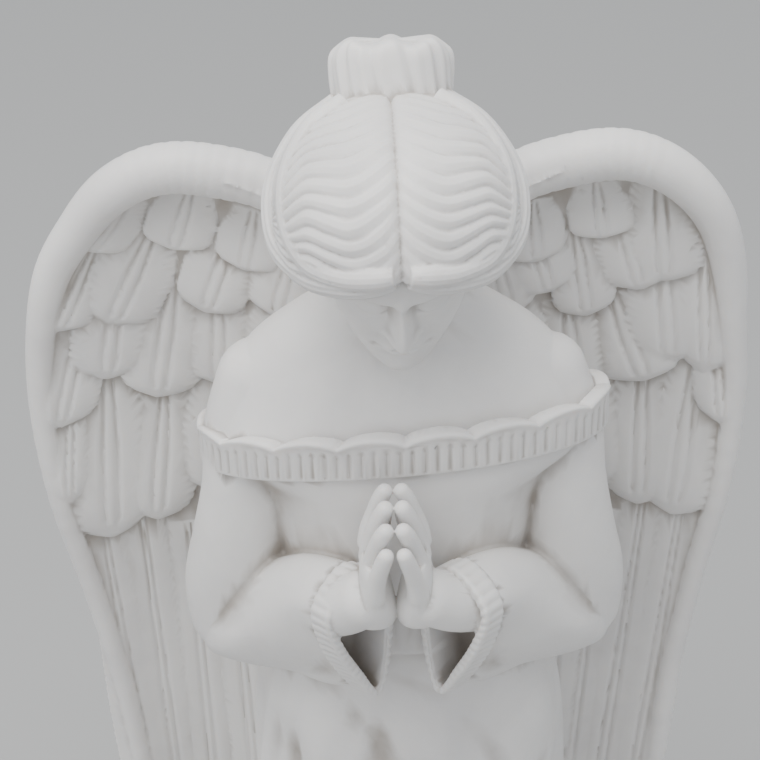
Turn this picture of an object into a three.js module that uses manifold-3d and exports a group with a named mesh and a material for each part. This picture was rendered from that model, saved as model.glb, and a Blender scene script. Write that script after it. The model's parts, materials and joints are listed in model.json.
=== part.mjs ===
// Cemetery angel: a standing angel in prayer, carved with its wings and a low
// oval base out of one block of white marble.
//
// Millimetres, +Z up. The figure faces -Y, +X is on the viewer's right, and
// the origin is the middle of the flat underside of the base.

import * as THREE from 'three';
import { LoftGeometry } from 'three/addons/geometries/LoftGeometry.js';
import { mergeVertices } from 'three/addons/utils/BufferGeometryUtils.js';
import Module from 'manifold-3d';

// ---------------------------------------------------------------- dimensions

// Low oval base, standing on its flat underside.
const base = { halfWidth: 142, halfDepth: 120, height: 42, edge: 5, sides: 22 };

// Gown, bodice and bare shoulders up to the neck, as level ovals:
// height, half width, front depth, back depth, middle in Y, squareness.
const bodyStations = [
  [34, 119, 99, 88, 0, 2.1],
  [60, 113, 95, 84, 0, 2.1],
  [150, 104, 86, 78, 0, 2.1],
  [280, 99, 78, 71, 0, 2.1],
  [400, 101, 73, 67, 0, 2.1],
  [480, 98, 67, 63, 0, 2.1],
  [545, 84, 60, 57, 0, 2.1],
  [590, 78, 57, 54, 0, 2.1],
  [640, 81, 63, 54, 0, 2.2],
  [684, 90, 64, 54, 0, 2.3],
  [704, 112, 62, 54, 0, 2.3],
  [718, 112, 59, 52, 0, 2.3],
  [736, 104, 52, 48, 0, 2.2],
  [752, 94, 43, 44, 0, 2.2],
  [766, 83, 37, 41, 0, 2.1],
  [780, 66, 32, 37, 0, 2],
  [792, 47, 29, 34, 0, 2],
  [803, 34, 28, 31, -2, 2],
  [818, 28, 27, 28, -8, 2],
  [838, 27, 27, 27, -16, 2],
  [858, 26, 26, 26, -24, 2],
];
const bodySides = 32;

// Gown folds: how many go round, how deep they are cut at the hem, the height
// where they have died away, and how far they lean as they fall.
const folds = { count: 9, depth: 7, top: 590, lean: 0.0022 };

// Upper arm inside its sleeve, shoulder to elbow: x, y, z, radius. The arm on
// the right is held a little further from the bodice and is slimmer.
const armStations = [
  [82, -2, 738, 24.5],
  [90, -8, 706, 26],
  [92, -12, 665, 28],
  [99, -10, 622, 30],
  [105, -5, 585, 31.5],
  [106, -4, 558, 30.5],
];
const rightArm = { out: 5, slim: 2.5 };

// Bell sleeve from behind the elbow to its mouth: x, y, z, half width, half height.
const sleeveStations = [
  [120, 12, 560, 15, 18],
  [112, 3, 560, 27, 30],
  [100, -10, 563, 31, 36],
  [81, -32, 577, 30, 43],
  [62, -56, 594, 27, 51],
  [43, -76, 605, 25, 54],
  [27, -92, 610, 25, 54],
];
const sleeve = { sides: 14, wall: 4.5, hollowFrom: 4.5, cuffProud: 2.4 };

// The mouth is close round the wrist and hangs to a point by the middle:
// angle with 90 on top and 0 towards the middle, then across and up.
const mouthShape = [
  [-135, -3, -28],
  [-90, 12, -53],
  [-45, 21, -33],
  [0, 25, 0],
  [45, 22, 32],
  [90, 0, 54],
  [135, -24, 38],
  [180, -18, 6],
  [225, -3, -28],
  [270, 12, -53],
];

// Forearm and wrist inside the sleeve: x, y, z, radius.
const forearmStations = [
  [70, -48, 606, 17],
  [52, -68, 620, 19],
  [33, -91, 640, 18.5],
  [18, -103, 655, 16.5],
];

// Folded hands. Each finger: knuckle y and z, tip y and z, radius.
const fingers = [
  [-87, 686, -87, 723, 5],
  [-98, 685, -102, 725, 5.2],
  [-108, 681, -114, 720, 5],
  [-118, 674, -123, 710, 4.6],
];
const hand = { shift: -6, knuckleX: 12, tipX: 4.4 };
const palm = [
  [645, 12, -101, 12.5, 14],
  [656, 12, -101, 11, 17],
  [668, 12, -101, 9, 19.5],
  [680, 13, -101, 7, 20],
  [690, 13, -102, 4.6, 18],
];

// Frilled band round the shoulders.
const frill = {
  left: 118, right: 121, front: 64, back: 57, square: 2.15,
  middle: 701, frontRise: 23, backDrop: 26, slant: 10,
  halfHeight: 13, proud: 1.5, scallops: 16, scallopRise: 4.4, steps: 48,
};

// Head: middle of the skull, how far it bows, and the bare skull and face as
// rings in the head's own frame: height, half width, front, back.
const head = { middle: new THREE.Vector3(0, -37, 872), bow: 22, turn: 1.5 };
const headStations = [
  [-84, 8, 44, 24],
  [-78, 17, 49, 8],
  [-66, 26, 50, -5],
  [-52, 32, 51.5, -14],
  [-38, 37, 52.5, -24],
  [-24, 40, 53, -35],
  [-10, 41.5, 53.5, -45],
  [4, 43, 56, -50],
  [20, 43.5, 55, -52],
  [36, 37, 45, -44],
  [46, 22, 26, -28],
];
const noseStations = [
  [-4, 3, 53, 56],
  [-16, 4, 50, 59],
  [-28, 6, 48, 65],
  [-34, 8.5, 48, 68],
  [-39, 7, 48, 60],
];

// Hair: half width over the ears, half length, half height, the hairline and
// the nape as angles round the ear-to-ear axis, and the waved locks each side.
const hair = {
  halfWidth: 66, halfLength: 68, halfHeight: 61,
  hairline: 24, nape: 222, locks: 10, lockEnd: 140, lockDepth: 2.8, wave: 4, steps: 11,
};
const sideRoll = { sides: 5 };
const bun = { y: 2, z: 900, height: 47, tilt: 25, halfWidth: 32, halfDepth: 22, flutes: 7, depth: 2, sides: 21 };

// Wings. The smooth roll along the leading edge, root to tip: x, y, z, radius.
const rollStations = [
  [34, 44, 800, 14],
  [68, 57, 829, 15],
  [106, 62, 840, 15.5],
  [138, 62, 842, 15],
  [166, 60, 830, 14],
  [188, 58, 806, 12.5],
  [205, 56, 774, 11],
  [216, 54, 728, 9],
  [221, 53, 672, 8],
  [218, 53, 600, 7.5],
  [206, 55, 520, 7],
  [195, 57, 430, 7],
  [190, 60, 340, 7],
  [184, 64, 250, 6.5],
  [170, 68, 165, 6],
  [152, 70, 104, 5],
];
// The blade inside the roll: height, inner edge, outer edge, thickness.
const bladeStations = [
  [842, 96, 142, 12],
  [826, 60, 164, 20],
  [800, 34, 187, 24],
  [755, 28, 209, 25],
  [680, 28, 219, 25],
  [590, 34, 216, 24],
  [470, 50, 200, 22],
  [330, 68, 189, 20],
  [190, 90, 175, 17],
  [104, 142, 154, 8],
];
const wing = { rootY: 42, dish: 27, steps: 4, narrowRight: 0.06, narrowTop: 0.018 };

// Feathers on the front of the wings, in rows from the roll down. Each feather:
// x and z of its root, x and z of its tip, width.
const leftFeathers = [
  [156, 820, 182, 789, 38], [121, 819, 132, 779, 42],
  [181, 786, 204, 735, 38], [145, 793, 173, 730, 50], [98, 788, 115, 733, 44],
  [191, 736, 210, 662, 41], [135, 754, 151, 670, 52], [180, 694, 189, 562, 54],
  [146, 676, 160, 569, 47],
];
const rightFeathers = [
  [158, 822, 172, 750, 46], [122, 814, 130, 778, 38],
  [187, 790, 201, 686, 34], [136, 800, 158, 742, 42], [112, 783, 126, 722, 40],
  [141, 735, 163, 672, 54], [196, 690, 187, 566, 48], [163, 684, 163, 570, 46],
];
const primaries = [
  [196, 600, 171, 150, 38], [170, 585, 151, 116, 42], [141, 560, 129, 165, 42], [114, 560, 108, 215, 44],
];
const feather = { lift: 9, root: 4.5 };

// -------------------------------------------------------------- small helpers

const wasm = await Module();
wasm.setup();

const TAU = Math.PI * 2;
const radians = THREE.MathUtils.degToRad;
const lerp = THREE.MathUtils.lerp;
const smooth = THREE.MathUtils.smoothstep;

// A smooth curve through rows of numbers, read at a value of the first column.
function rowAt(rows, key) {
  const last = rows.length - 1;
  const rising = rows[last][0] > rows[0][0] ? 1 : -1;
  let i = 0;
  while (i < last - 1 && (key - rows[i + 1][0]) * rising > 0) i += 1;
  const [a, b] = [rows[i], rows[i + 1]];
  const [before, after] = [rows[Math.max(i - 1, 0)], rows[Math.min(i + 2, last)]];
  const span = b[0] - a[0];
  const t = THREE.MathUtils.clamp((key - a[0]) / span, 0, 1);
  return a.map((value, column) => {
    const slopeA = (b[column] - before[column]) / (b[0] - before[0]) * span;
    const slopeB = (after[column] - value) / (after[0] - a[0]) * span;
    const [t2, t3] = [t * t, t * t * t];
    return value * (2 * t3 - 3 * t2 + 1) + slopeA * (t3 - 2 * t2 + t)
      + b[column] * (3 * t2 - 2 * t3) + slopeB * (t3 - t2);
  });
}

// The same curve for rows without a key column, read from 0 to the last row.
function alongRows(rows, place) {
  return rowAt(rows.map((row, index) => [index, ...row]), place).slice(1);
}

// A point of a rounded, slightly squared oval at an angle.
function ovalPoint(angle, halfWidth, front, back, square) {
  const [c, s] = [Math.cos(angle), Math.sin(angle)];
  const depth = s < 0 ? front : back;
  return [
    Math.sign(c) * Math.abs(c) ** (2 / square) * halfWidth,
    Math.sign(s) * Math.abs(s) ** (2 / square) * depth,
  ];
}

// A closed solid from any closed geometry, turned the right way out.
function solidFrom(geometry) {
  const plain = new THREE.BufferGeometry();
  plain.setAttribute('position', geometry.attributes.position);
  plain.setIndex(geometry.index);
  const merged = mergeVertices(plain, 1e-3);
  const place = merged.attributes.position;
  const triangles = [];
  let volume = 0;
  const [a, b, c] = [new THREE.Vector3(), new THREE.Vector3(), new THREE.Vector3()];
  for (let i = 0; i < merged.index.count; i += 3) {
    const corners = [0, 1, 2].map((k) => merged.index.getX(i + k));
    if (new Set(corners).size < 3) continue;
    [a, b, c].forEach((corner, k) => corner.fromBufferAttribute(place, corners[k]));
    volume += a.dot(b.cross(c));
    triangles.push(corners);
  }
  const outward = volume > 0 ? triangles : triangles.map((corners) => corners.reverse());
  return new wasm.Manifold(new wasm.Mesh({
    numProp: 3,
    vertProperties: Float32Array.from(place.array),
    triVerts: Uint32Array.from(outward.flat()),
  }));
}

// A closed solid skinned over rings of points. Each end closes on its middle.
function loft(rings) {
  const middle = (ring) => ring
    .reduce((sum, point) => sum.add(point), new THREE.Vector3())
    .divideScalar(ring.length);
  const [first, last] = [middle(rings[0]), middle(rings[rings.length - 1])];
  const closed = [rings[0].map(() => first), ...rings, rings[0].map(() => last)];
  return solidFrom(new LoftGeometry(closed));
}

function joined(solids) {
  return solids.reduce((whole, piece) => whole.add(piece));
}

// A round limb through stations of x, y, z, radius, with rounded ends.
function limb(stations, sides, rings) {
  const last = stations.length - 1;
  const rows = [];
  for (let i = 0; i <= rings; i += 1) rows.push(alongRows(stations, i / rings * last));
  const points = rows.map((row) => new THREE.Vector3(row[0], row[1], row[2]));
  const ring = (point, direction, radius) => {
    const across = new THREE.Vector3(0, 1, 0.01).cross(direction).normalize();
    const up = new THREE.Vector3().crossVectors(direction, across);
    return Array.from({ length: sides }, (_, k) => point.clone()
      .addScaledVector(across, Math.cos(k / sides * TAU) * radius)
      .addScaledVector(up, Math.sin(k / sides * TAU) * radius));
  };
  const sections = points.map((point, i) => {
    const direction = points[Math.min(i + 1, rings)].clone().sub(points[Math.max(i - 1, 0)]).normalize();
    return ring(point, direction, rows[i][3]);
  });
  const start = points[0].clone().sub(points[1]).normalize();
  const end = points[rings].clone().sub(points[rings - 1]).normalize();
  const [first, final] = [rows[0][3], rows[rings][3]];
  const roundStart = ring(points[0].clone().addScaledVector(start, first * 0.7), start.clone().negate(), first * 0.62);
  const roundEnd = ring(points[rings].clone().addScaledVector(end, final * 0.7), end, final * 0.62);
  return loft([roundStart, ...sections, roundEnd]);
}

// ----------------------------------------------------------------- the pieces

// Low oval base with softened edges.
function makeBase() {
  const rings = [
    [0, base.edge * 0.6],
    [base.edge * 0.6, 0],
    [base.height - base.edge, 1],
    [base.height, base.edge + 1],
  ];
  return loft(rings.map(([z, inset]) => Array.from({ length: base.sides }, (_, k) => {
    const [width, depth] = [base.halfWidth - inset, base.halfDepth - inset];
    const [x, y] = ovalPoint(k / base.sides * TAU, width, depth, depth, 2.4);
    return new THREE.Vector3(x, y, z);
  })));
}

// How far the gown's folds push the surface out or in.
function foldAt(angle, z) {
  const strength = folds.depth * smooth(folds.top - z, 0, 330);
  const lean = folds.lean * (folds.top - z) * Math.cos(angle + Math.PI / 2);
  const wave = Math.sin(folds.count * (angle + lean));
  return strength * (wave + 0.35 * Math.sin(5 * angle + 1.3));
}

function makeBody() {
  const heights = [];
  for (let i = 0; i < 5; i += 1) heights.push(lerp(34, 520, i / 5));
  for (let i = 0; i < 2; i += 1) heights.push(lerp(520, 692, i / 2));
  for (let i = 0; i <= 7; i += 1) heights.push(lerp(692, 850, i / 7));
  return loft(heights.map((z) => {
    const [, halfWidth, front, back, middle, square] = rowAt(bodyStations, z);
    return Array.from({ length: bodySides }, (_, k) => {
      const angle = k / bodySides * TAU;
      const [x, y] = ovalPoint(angle, halfWidth, front, back, square);
      const grow = 1 + foldAt(angle, z) / Math.hypot(x, y);
      return new THREE.Vector3(x * grow, y * grow + middle, z);
    });
  }));
}

// The sleeve's rings stand upright across the forearm and turn into the mouth's
// shape. A ring inside the wall is smaller all round, and a cuff ring is proud.
function sleeveRing(place, side, offset) {
  const [x, y, z, halfWidth, halfHeight] = alongRows(sleeveStations, place);
  const ahead = alongRows(sleeveStations, Math.min(place + 0.1, sleeveStations.length - 1));
  const behind = alongRows(sleeveStations, Math.max(place - 0.1, 0));
  const along = new THREE.Vector3(ahead[0] - behind[0], ahead[1] - behind[1], 0).normalize();
  const open = smooth(place, 2.5, sleeveStations.length - 1);
  return Array.from({ length: sleeve.sides }, (_, k) => {
    const turn = k / sleeve.sides * 360 - 90;
    const [c, s] = [Math.cos(radians(turn)), Math.sin(radians(turn))];
    const [, mouthAcross, mouthUp] = rowAt(mouthShape, turn);
    const across = lerp(c * halfWidth * (1 - 0.18 * Math.max(0, s)), mouthAcross, open) + c * offset;
    const up = lerp(s * halfHeight, mouthUp, open) + s * offset;
    return new THREE.Vector3(side * (x + along.y * across), y - along.x * across, z + up);
  });
}

function makeSleeve(side) {
  const mouth = sleeveStations.length - 1;
  const outer = [0, 0.8, 2, 3.3, 4.4, 5.3].map((place) => sleeveRing(place, side, 0));
  const cuff = [5.35, mouth].map((place) => sleeveRing(place, side, sleeve.cuffProud));
  const inner = [sleeve.hollowFrom, 5.1, mouth].map((place) => sleeveRing(place, side, -sleeve.wall));
  const beyond = sleeveRing(mouth, side, -sleeve.wall);
  const out = new THREE.Vector3(-side * 0.71, -0.71, 0).multiplyScalar(8);
  inner.push(beyond.map((point) => point.add(out)));
  return loft([...outer, ...cuff]).subtract(loft(inner));
}

// Both hands stand a little to the left of the middle, palm to palm.
function makeHand(side) {
  const pieces = fingers.map(([knuckleY, knuckleZ, tipY, tipZ, radius]) => limb([
    [side * hand.knuckleX, knuckleY, knuckleZ - 8, radius],
    [side * (hand.knuckleX - 1), knuckleY, knuckleZ, radius],
    [side * (hand.tipX + 3.4), lerp(knuckleY, tipY, 0.5), lerp(knuckleZ, tipZ, 0.5), radius * 0.98],
    [side * hand.tipX, tipY, tipZ - radius * 0.7, radius * 0.84],
  ], 5, 2));
  pieces.push(limb([
    [side * 17, -94, 656, 6.5],
    [side * 13, -84, 668, 6.2],
    [side * 8, -80, 684, 5.4],
    [side * 5, -79, 699, 4.4],
  ], 5, 2));
  pieces.push(loft(palm.map(([z, x, y, halfThick, halfWide]) => Array.from({ length: 8 }, (_, k) => {
    const [px, py] = ovalPoint(k / 8 * TAU, halfThick, halfWide, halfWide, 2.4);
    return new THREE.Vector3(side * x + px, y + py, z);
  }))));
  return joined(pieces).translate([hand.shift, 0, 0]);
}

// The band is a low drum with a scalloped rim, sunk into the shoulders.
function makeFrill() {
  const layers = [
    [-frill.halfHeight, frill.proud, 0],
    [frill.halfHeight - 2, frill.proud - 0.5, 1],
  ];
  return loft(layers.map(([up, out, scallop]) => Array.from({ length: frill.steps }, (_, k) => {
    const angle = k / frill.steps * TAU;
    const halfWidth = Math.cos(angle) < 0 ? frill.left : frill.right;
    const [x, y] = ovalPoint(angle, halfWidth, frill.front, frill.back, frill.square);
    const grow = 1 + out / Math.hypot(x, y);
    const lobe = Math.abs(Math.sin(frill.scallops / 2 * angle)) ** 0.7;
    const swing = frill.frontRise * Math.max(0, -Math.sin(angle)) - frill.backDrop * Math.max(0, Math.sin(angle));
    const z = frill.middle + frill.slant * Math.cos(angle) + swing + up + scallop * frill.scallopRise * lobe;
    return new THREE.Vector3(x * grow, y * grow, z);
  })));
}

// From the head's own frame (right, forward, up) to the statue's.
function headPoint(right, forward, up) {
  const point = new THREE.Vector3(right, -forward, up);
  point.applyAxisAngle(new THREE.Vector3(0, 0, 1), radians(head.turn));
  point.applyAxisAngle(new THREE.Vector3(1, 0, 0), radians(head.bow));
  return point.add(head.middle);
}

function makeHead() {
  const heights = [-84, -77, -62, -46, -28, -10, 6, 24, 44];
  const skull = loft(heights.map((up) => {
    const [, halfWidth, front, back] = rowAt(headStations, up);
    return Array.from({ length: 14 }, (_, k) => {
      const half = (front - back) / 2;
      const [x, y] = ovalPoint(k / 14 * TAU, halfWidth, half, half, 2.1);
      return headPoint(x, (front + back) / 2 - y, up);
    });
  }));
  const nose = loft(noseStations.map(([up, halfWidth, foot, tip]) => [
    headPoint(-halfWidth, foot, up),
    headPoint(-halfWidth * 0.45, lerp(foot, tip, 0.8), up),
    headPoint(0, tip, up),
    headPoint(halfWidth * 0.45, lerp(foot, tip, 0.8), up),
    headPoint(halfWidth, foot, up),
    headPoint(0, foot - 8, up),
  ]));
  return skull.add(nose);
}

// Hair as slices about the ear-to-ear axis. A slice runs from ear to ear; the
// waved locks are ridges between slices, and the slices swing as they go out.
function hairPoint(slice, t, relief) {
  const swing = radians(hair.wave) * Math.sin(t * 9) * smooth(Math.abs(t), 0.1, 0.5);
  const turn = radians(slice) + swing;
  const across = Math.sin(t * Math.PI / 2);
  const out = Math.max(0.02, Math.cos(t * Math.PI / 2)) ** 0.8;
  const part = 3.2 * Math.exp(-((t / 0.05) ** 2)) * smooth(150 - slice, 0, 20);
  const length = (hair.halfLength + relief - part) * out;
  const height = (hair.halfHeight + relief - part) * out;
  return headPoint(across * hair.halfWidth, Math.cos(turn) * length, Math.sin(turn) * height);
}

function makeHair() {
  const slices = [];
  const rows = hair.locks * 2;
  for (let i = 0; i <= rows; i += 1) {
    const slice = lerp(hair.hairline, hair.lockEnd, i / rows);
    slices.push([slice, i % 2 ? hair.lockDepth / 2 : -hair.lockDepth / 2]);
  }
  for (let i = 1; i <= 5; i += 1) slices.push([lerp(hair.lockEnd, hair.nape, i / 5), 0]);
  const sections = slices.map(([slice, relief]) => {
    const ring = [];
    for (let k = 0; k <= hair.steps; k += 1) {
      const t = -0.93 + 1.86 * k / hair.steps;
      const dip = slice < 60 ? -22 * smooth(Math.abs(t), 0.25, 0.85) * smooth(60 - slice, 0, 30) : 0;
      ring.push(hairPoint(slice + dip, t, relief * smooth(1 - Math.abs(t), 0.1, 0.35)));
    }
    ring.push(headPoint(30, 0, 0));
    ring.push(headPoint(-30, 0, 0));
    return ring;
  });
  return loft(sections);
}

// Smooth roll that frames the waved hair, from the middle of the brow round
// the temple and the ear to the bun.
function makeSideRoll(side) {
  const stations = [
    headRow(side * 6, 57, 27, 6.5),
    headRow(side * 26, 52, 21, 8.5),
    headRow(side * 45, 36, 8, 10),
    headRow(side * 57, 12, -2, 11.5),
    headRow(side * 58, -16, 4, 11.5),
    headRow(side * 46, -40, 16, 9.5),
    headRow(side * 26, -52, 28, 8),
  ];
  return limb(stations, sideRoll.sides, 8);
}

function headRow(right, forward, up, radius) {
  return [...headPoint(right, forward, up).toArray(), radius];
}

function makeBun() {
  const levels = [0, 0.35, 0.75, 0.93, 1];
  const sizes = [0.84, 0.98, 1.02, 0.92, 0.66];
  return loft(levels.map((level, i) => Array.from({ length: bun.sides }, (_, k) => {
    const angle = k / bun.sides * TAU;
    const flute = 1 + bun.depth / bun.halfWidth * Math.cos(bun.flutes * angle);
    const [x, y] = ovalPoint(angle, bun.halfWidth, bun.halfDepth, bun.halfDepth, 2.2);
    const lobes = level > 0.7 ? 3 * Math.cos(3 * Math.PI * x / (2 * bun.halfWidth)) ** 2 : 0;
    const point = new THREE.Vector3(x * sizes[i] * flute, y * sizes[i] * flute, level * bun.height + lobes);
    point.applyAxisAngle(new THREE.Vector3(1, 0, 0), -radians(bun.tilt));
    return point.add(new THREE.Vector3(0, bun.y, bun.z));
  })));
}

// The wing on the viewer's right is carved a little narrower below its top.
function spread(x, z, side) {
  const below = side > 0 ? wing.narrowRight * smooth(830 - z, 0, 90) : 0;
  const narrow = Math.max(below, wing.narrowTop * smooth(z, 760, 800));
  return side * x * (1 - narrow);
}

// Front face of the blade, hollowed between root and leading edge.
function bladeFront(z, across) {
  const edge = rollDepth(z);
  const root = wing.rootY + 6 * smooth(520 - z, 0, 300);
  return lerp(root, edge, across) + wing.dish * Math.sin(Math.PI * Math.min(1, across * 1.02)) ** 0.8;
}

// Depth of the leading-edge roll at a height, from its outer stations.
function rollDepth(z) {
  const outer = rollStations.slice(3).map(([, y, height]) => [height, y]);
  return rowAt(outer, Math.min(z, outer[0][0]))[1];
}

function makeBlade(side) {
  return loft(bladeStations.map(([z, inner, outer, thick]) => {
    const front = [];
    const back = [];
    for (let k = 0; k <= wing.steps; k += 1) {
      const across = k / wing.steps;
      const x = lerp(inner, outer, across);
      const y = bladeFront(z, across);
      const edge = 0.5 + 0.5 * Math.sin(Math.PI * lerp(0.12, 0.88, across));
      front.push(new THREE.Vector3(spread(x, z, side), y, z));
      back.push(new THREE.Vector3(spread(x, z, side), y + thick * edge, z));
    }
    return [...front, ...back.reverse()];
  }));
}

function makeRoll(side) {
  const rows = rollStations.map(([x, y, z, radius]) => [spread(x, z, side), y, z, radius * 1.06]);
  return limb(rows, 6, 15);
}

// One feather: a leaf with a raised shaft, lying on the front of the blade.
function makeFeather(side, [rootX, rootZ, tipX, tipZ, width]) {
  const shape = [[0, 0.66], [0.62, 1], [1, 0.34]];
  const [runX, runZ] = [tipX - rootX, tipZ - rootZ];
  const length = Math.hypot(runX, runZ);
  return loft(shape.map(([t, wide]) => {
    const half = width / 2 * wide;
    const section = [[-1, 0.3], [0, 1], [1, 0.3], [0, -1.6]];
    return section.map(([across, high]) => {
      const x = rootX + runX * t - runZ / length * across * half;
      const z = rootZ + runZ * t + runX / length * across * half;
      const [, inner, outer] = rowAt(bladeStations, THREE.MathUtils.clamp(z, 104, 842));
      const place = THREE.MathUtils.clamp((x - inner) / (outer - inner), 0, 1);
      const lift = lerp(feather.root, feather.lift, t) * high - 0.5;
      return new THREE.Vector3(spread(x, z, side), bladeFront(z, place) - lift, z);
    });
  }));
}

function makeFeathers(side) {
  const rows = [...(side < 0 ? leftFeathers : rightFeathers), ...primaries];
  return joined(rows.map((row) => makeFeather(side, row)));
}

function makeWing(side) {
  return joined([makeBlade(side), makeRoll(side), makeFeathers(side)]);
}

function makeArm(side) {
  const { out, slim } = side > 0 ? rightArm : { out: 0, slim: 0 };
  const arm = limb(armStations.map(([x, y, z, radius]) => {
    const upper = smooth(z, 600, 680);
    return [side * (x + out * upper), y, z, radius - slim * upper];
  }), 9, 5);
  const last = forearmStations.length - 1;
  const forearm = limb(forearmStations.map(([x, y, z, radius], i) => (
    [side * x + hand.shift * i / last, y, z, radius]
  )), 8, 3);
  return joined([arm, makeSleeve(side), forearm, makeHand(side)]);
}

// ------------------------------------------------------------------ the statue

// Everything is carved from one block, so the forms are joined into one solid.
// Joining can close off a pocket of air; only the outer body is kept.
function carve() {
  const sides = [-1, 1];
  const forms = [makeBase(), makeBody(), makeHead(), makeHair(), makeBun(), makeFrill()];
  for (const side of sides) {
    forms.push(makeArm(side), makeSideRoll(side), makeWing(side));
  }
  const bodies = joined(forms).decompose();
  return bodies.sort((a, b) => b.volume() - a.volume())[0];
}

function geometryOf(solid) {
  const mesh = solid.getMesh();
  const geometry = new THREE.BufferGeometry();
  geometry.setAttribute('position', new THREE.BufferAttribute(Float32Array.from(mesh.vertProperties), 3));
  geometry.setIndex(new THREE.BufferAttribute(Uint32Array.from(mesh.triVerts), 1));
  geometry.computeVertexNormals();
  return geometry;
}

const marble = new THREE.MeshStandardMaterial({ color: 0xe9e4dc, roughness: 0.45, metalness: 0 });
const angel = new THREE.Mesh(geometryOf(carve()), marble);
angel.name = 'angel';

const statue = new THREE.Group();
statue.add(angel);

export default statue;
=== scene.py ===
# %% [markdown]
# # A marble cemetery angel, carved in Blender
# The real object is one block of white marble. A carver roughs out the body,
# wings, head and arms, then cuts feathers, hair, cloth and skin into them.
# The lesson follows the same order: smooth closed forms first, then what is
# repeated, then one skin over everything, then the stone itself.

import json
import math

import bpy
import bmesh
import numpy as np
from mathutils import Matrix, Vector

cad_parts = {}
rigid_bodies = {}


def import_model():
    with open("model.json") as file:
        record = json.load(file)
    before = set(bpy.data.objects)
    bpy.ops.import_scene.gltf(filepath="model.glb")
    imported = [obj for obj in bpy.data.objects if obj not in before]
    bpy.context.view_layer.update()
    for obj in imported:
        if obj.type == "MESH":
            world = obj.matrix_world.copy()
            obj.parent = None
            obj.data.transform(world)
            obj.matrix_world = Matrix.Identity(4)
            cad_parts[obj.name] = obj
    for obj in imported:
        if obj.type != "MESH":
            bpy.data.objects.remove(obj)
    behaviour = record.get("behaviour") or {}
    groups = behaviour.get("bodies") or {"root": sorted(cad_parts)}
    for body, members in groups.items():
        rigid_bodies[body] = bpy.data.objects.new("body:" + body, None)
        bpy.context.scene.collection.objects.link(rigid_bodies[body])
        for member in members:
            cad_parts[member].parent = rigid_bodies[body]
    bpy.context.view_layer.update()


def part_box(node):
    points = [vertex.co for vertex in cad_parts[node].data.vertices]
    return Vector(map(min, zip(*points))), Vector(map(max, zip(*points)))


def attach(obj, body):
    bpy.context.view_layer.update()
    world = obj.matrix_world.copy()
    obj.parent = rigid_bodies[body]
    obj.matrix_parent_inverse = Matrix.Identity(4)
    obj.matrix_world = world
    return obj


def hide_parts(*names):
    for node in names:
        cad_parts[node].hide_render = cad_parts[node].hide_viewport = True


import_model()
low, high = (Vector(corner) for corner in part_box("angel"))
NOMINAL_HEIGHT = 950.7
MM = (high.z - low.z) / NOMINAL_HEIGHT
print(f"statue {high.z - low.z:.3f} m tall, one carver's millimetre is {MM:.6f} m")

# %% [markdown]
# The forms are lofts: closed skins over rings of points. Their sizes are kept
# as short tables of stations, and a smooth curve is drawn through each table.
# Numpy reads a whole table at once, which keeps hundreds of rings quick.

# %% Smooth curves through a few stations
def read_rows(rows, keys):
    """Read a table at values of its first column, on a smooth curve."""
    rows = np.asarray(rows, float)
    rows = rows[::-1] if rows[-1, 0] < rows[0, 0] else rows
    x = rows[:, 0]
    keys = np.clip(np.atleast_1d(np.asarray(keys, float)), x[0], x[-1])
    i = np.clip(np.searchsorted(x, keys, side="right") - 1, 0, len(x) - 2)
    before, after = np.maximum(i - 1, 0), np.minimum(i + 2, len(x) - 1)
    span = (x[i + 1] - x[i])[:, None]
    t = (keys - x[i])[:, None] / span
    slope_a = (rows[i + 1] - rows[before]) / (x[i + 1] - x[before])[:, None] * span
    slope_b = (rows[after] - rows[i]) / (x[after] - x[i])[:, None] * span
    start = rows[i] * (2 * t**3 - 3 * t**2 + 1) + slope_a * (t**3 - 2 * t**2 + t)
    end = rows[i + 1] * (3 * t**2 - 2 * t**3) + slope_b * (t**3 - t**2)
    return (start + end)[:, 1:]


def along_rows(rows, places):
    """Read a table by the number of the row, 0 to the last."""
    rows = np.asarray(rows, float)
    return read_rows(np.column_stack([np.arange(len(rows)), rows]), places)


def smooth(x, start, end):
    """0 before start, 1 after end, and an easy slope between."""
    t = np.clip((np.asarray(x, float) - start) / (end - start), 0, 1)
    return t * t * (3 - 2 * t)


def mix(a, b, t):
    return a + (b - a) * t


def oval(angle, half_width, front, back, square):
    """x and y of a rounded, slightly squared oval."""
    c, s = np.cos(angle), np.sin(angle)
    depth = np.where(s < 0, front, back)
    return (np.sign(c) * np.abs(c) ** (2 / square) * half_width,
            np.sign(s) * np.abs(s) ** (2 / square) * depth)


# %% [markdown]
# Every form is closed at both ends on its middle point and faces outwards. The
# signed volume tells which way round a mesh is, so nothing has to be guessed.

# %% Closed forms from rings
forms = {"body": [], "wings": [], "head": [], "fine": []}


def mesh_object(name, points, faces):
    mesh = bpy.data.meshes.new(name)
    mesh.from_pydata(points.tolist(), [], faces)
    obj = bpy.data.objects.new(name, mesh)
    bpy.context.scene.collection.objects.link(obj)
    return obj


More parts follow.
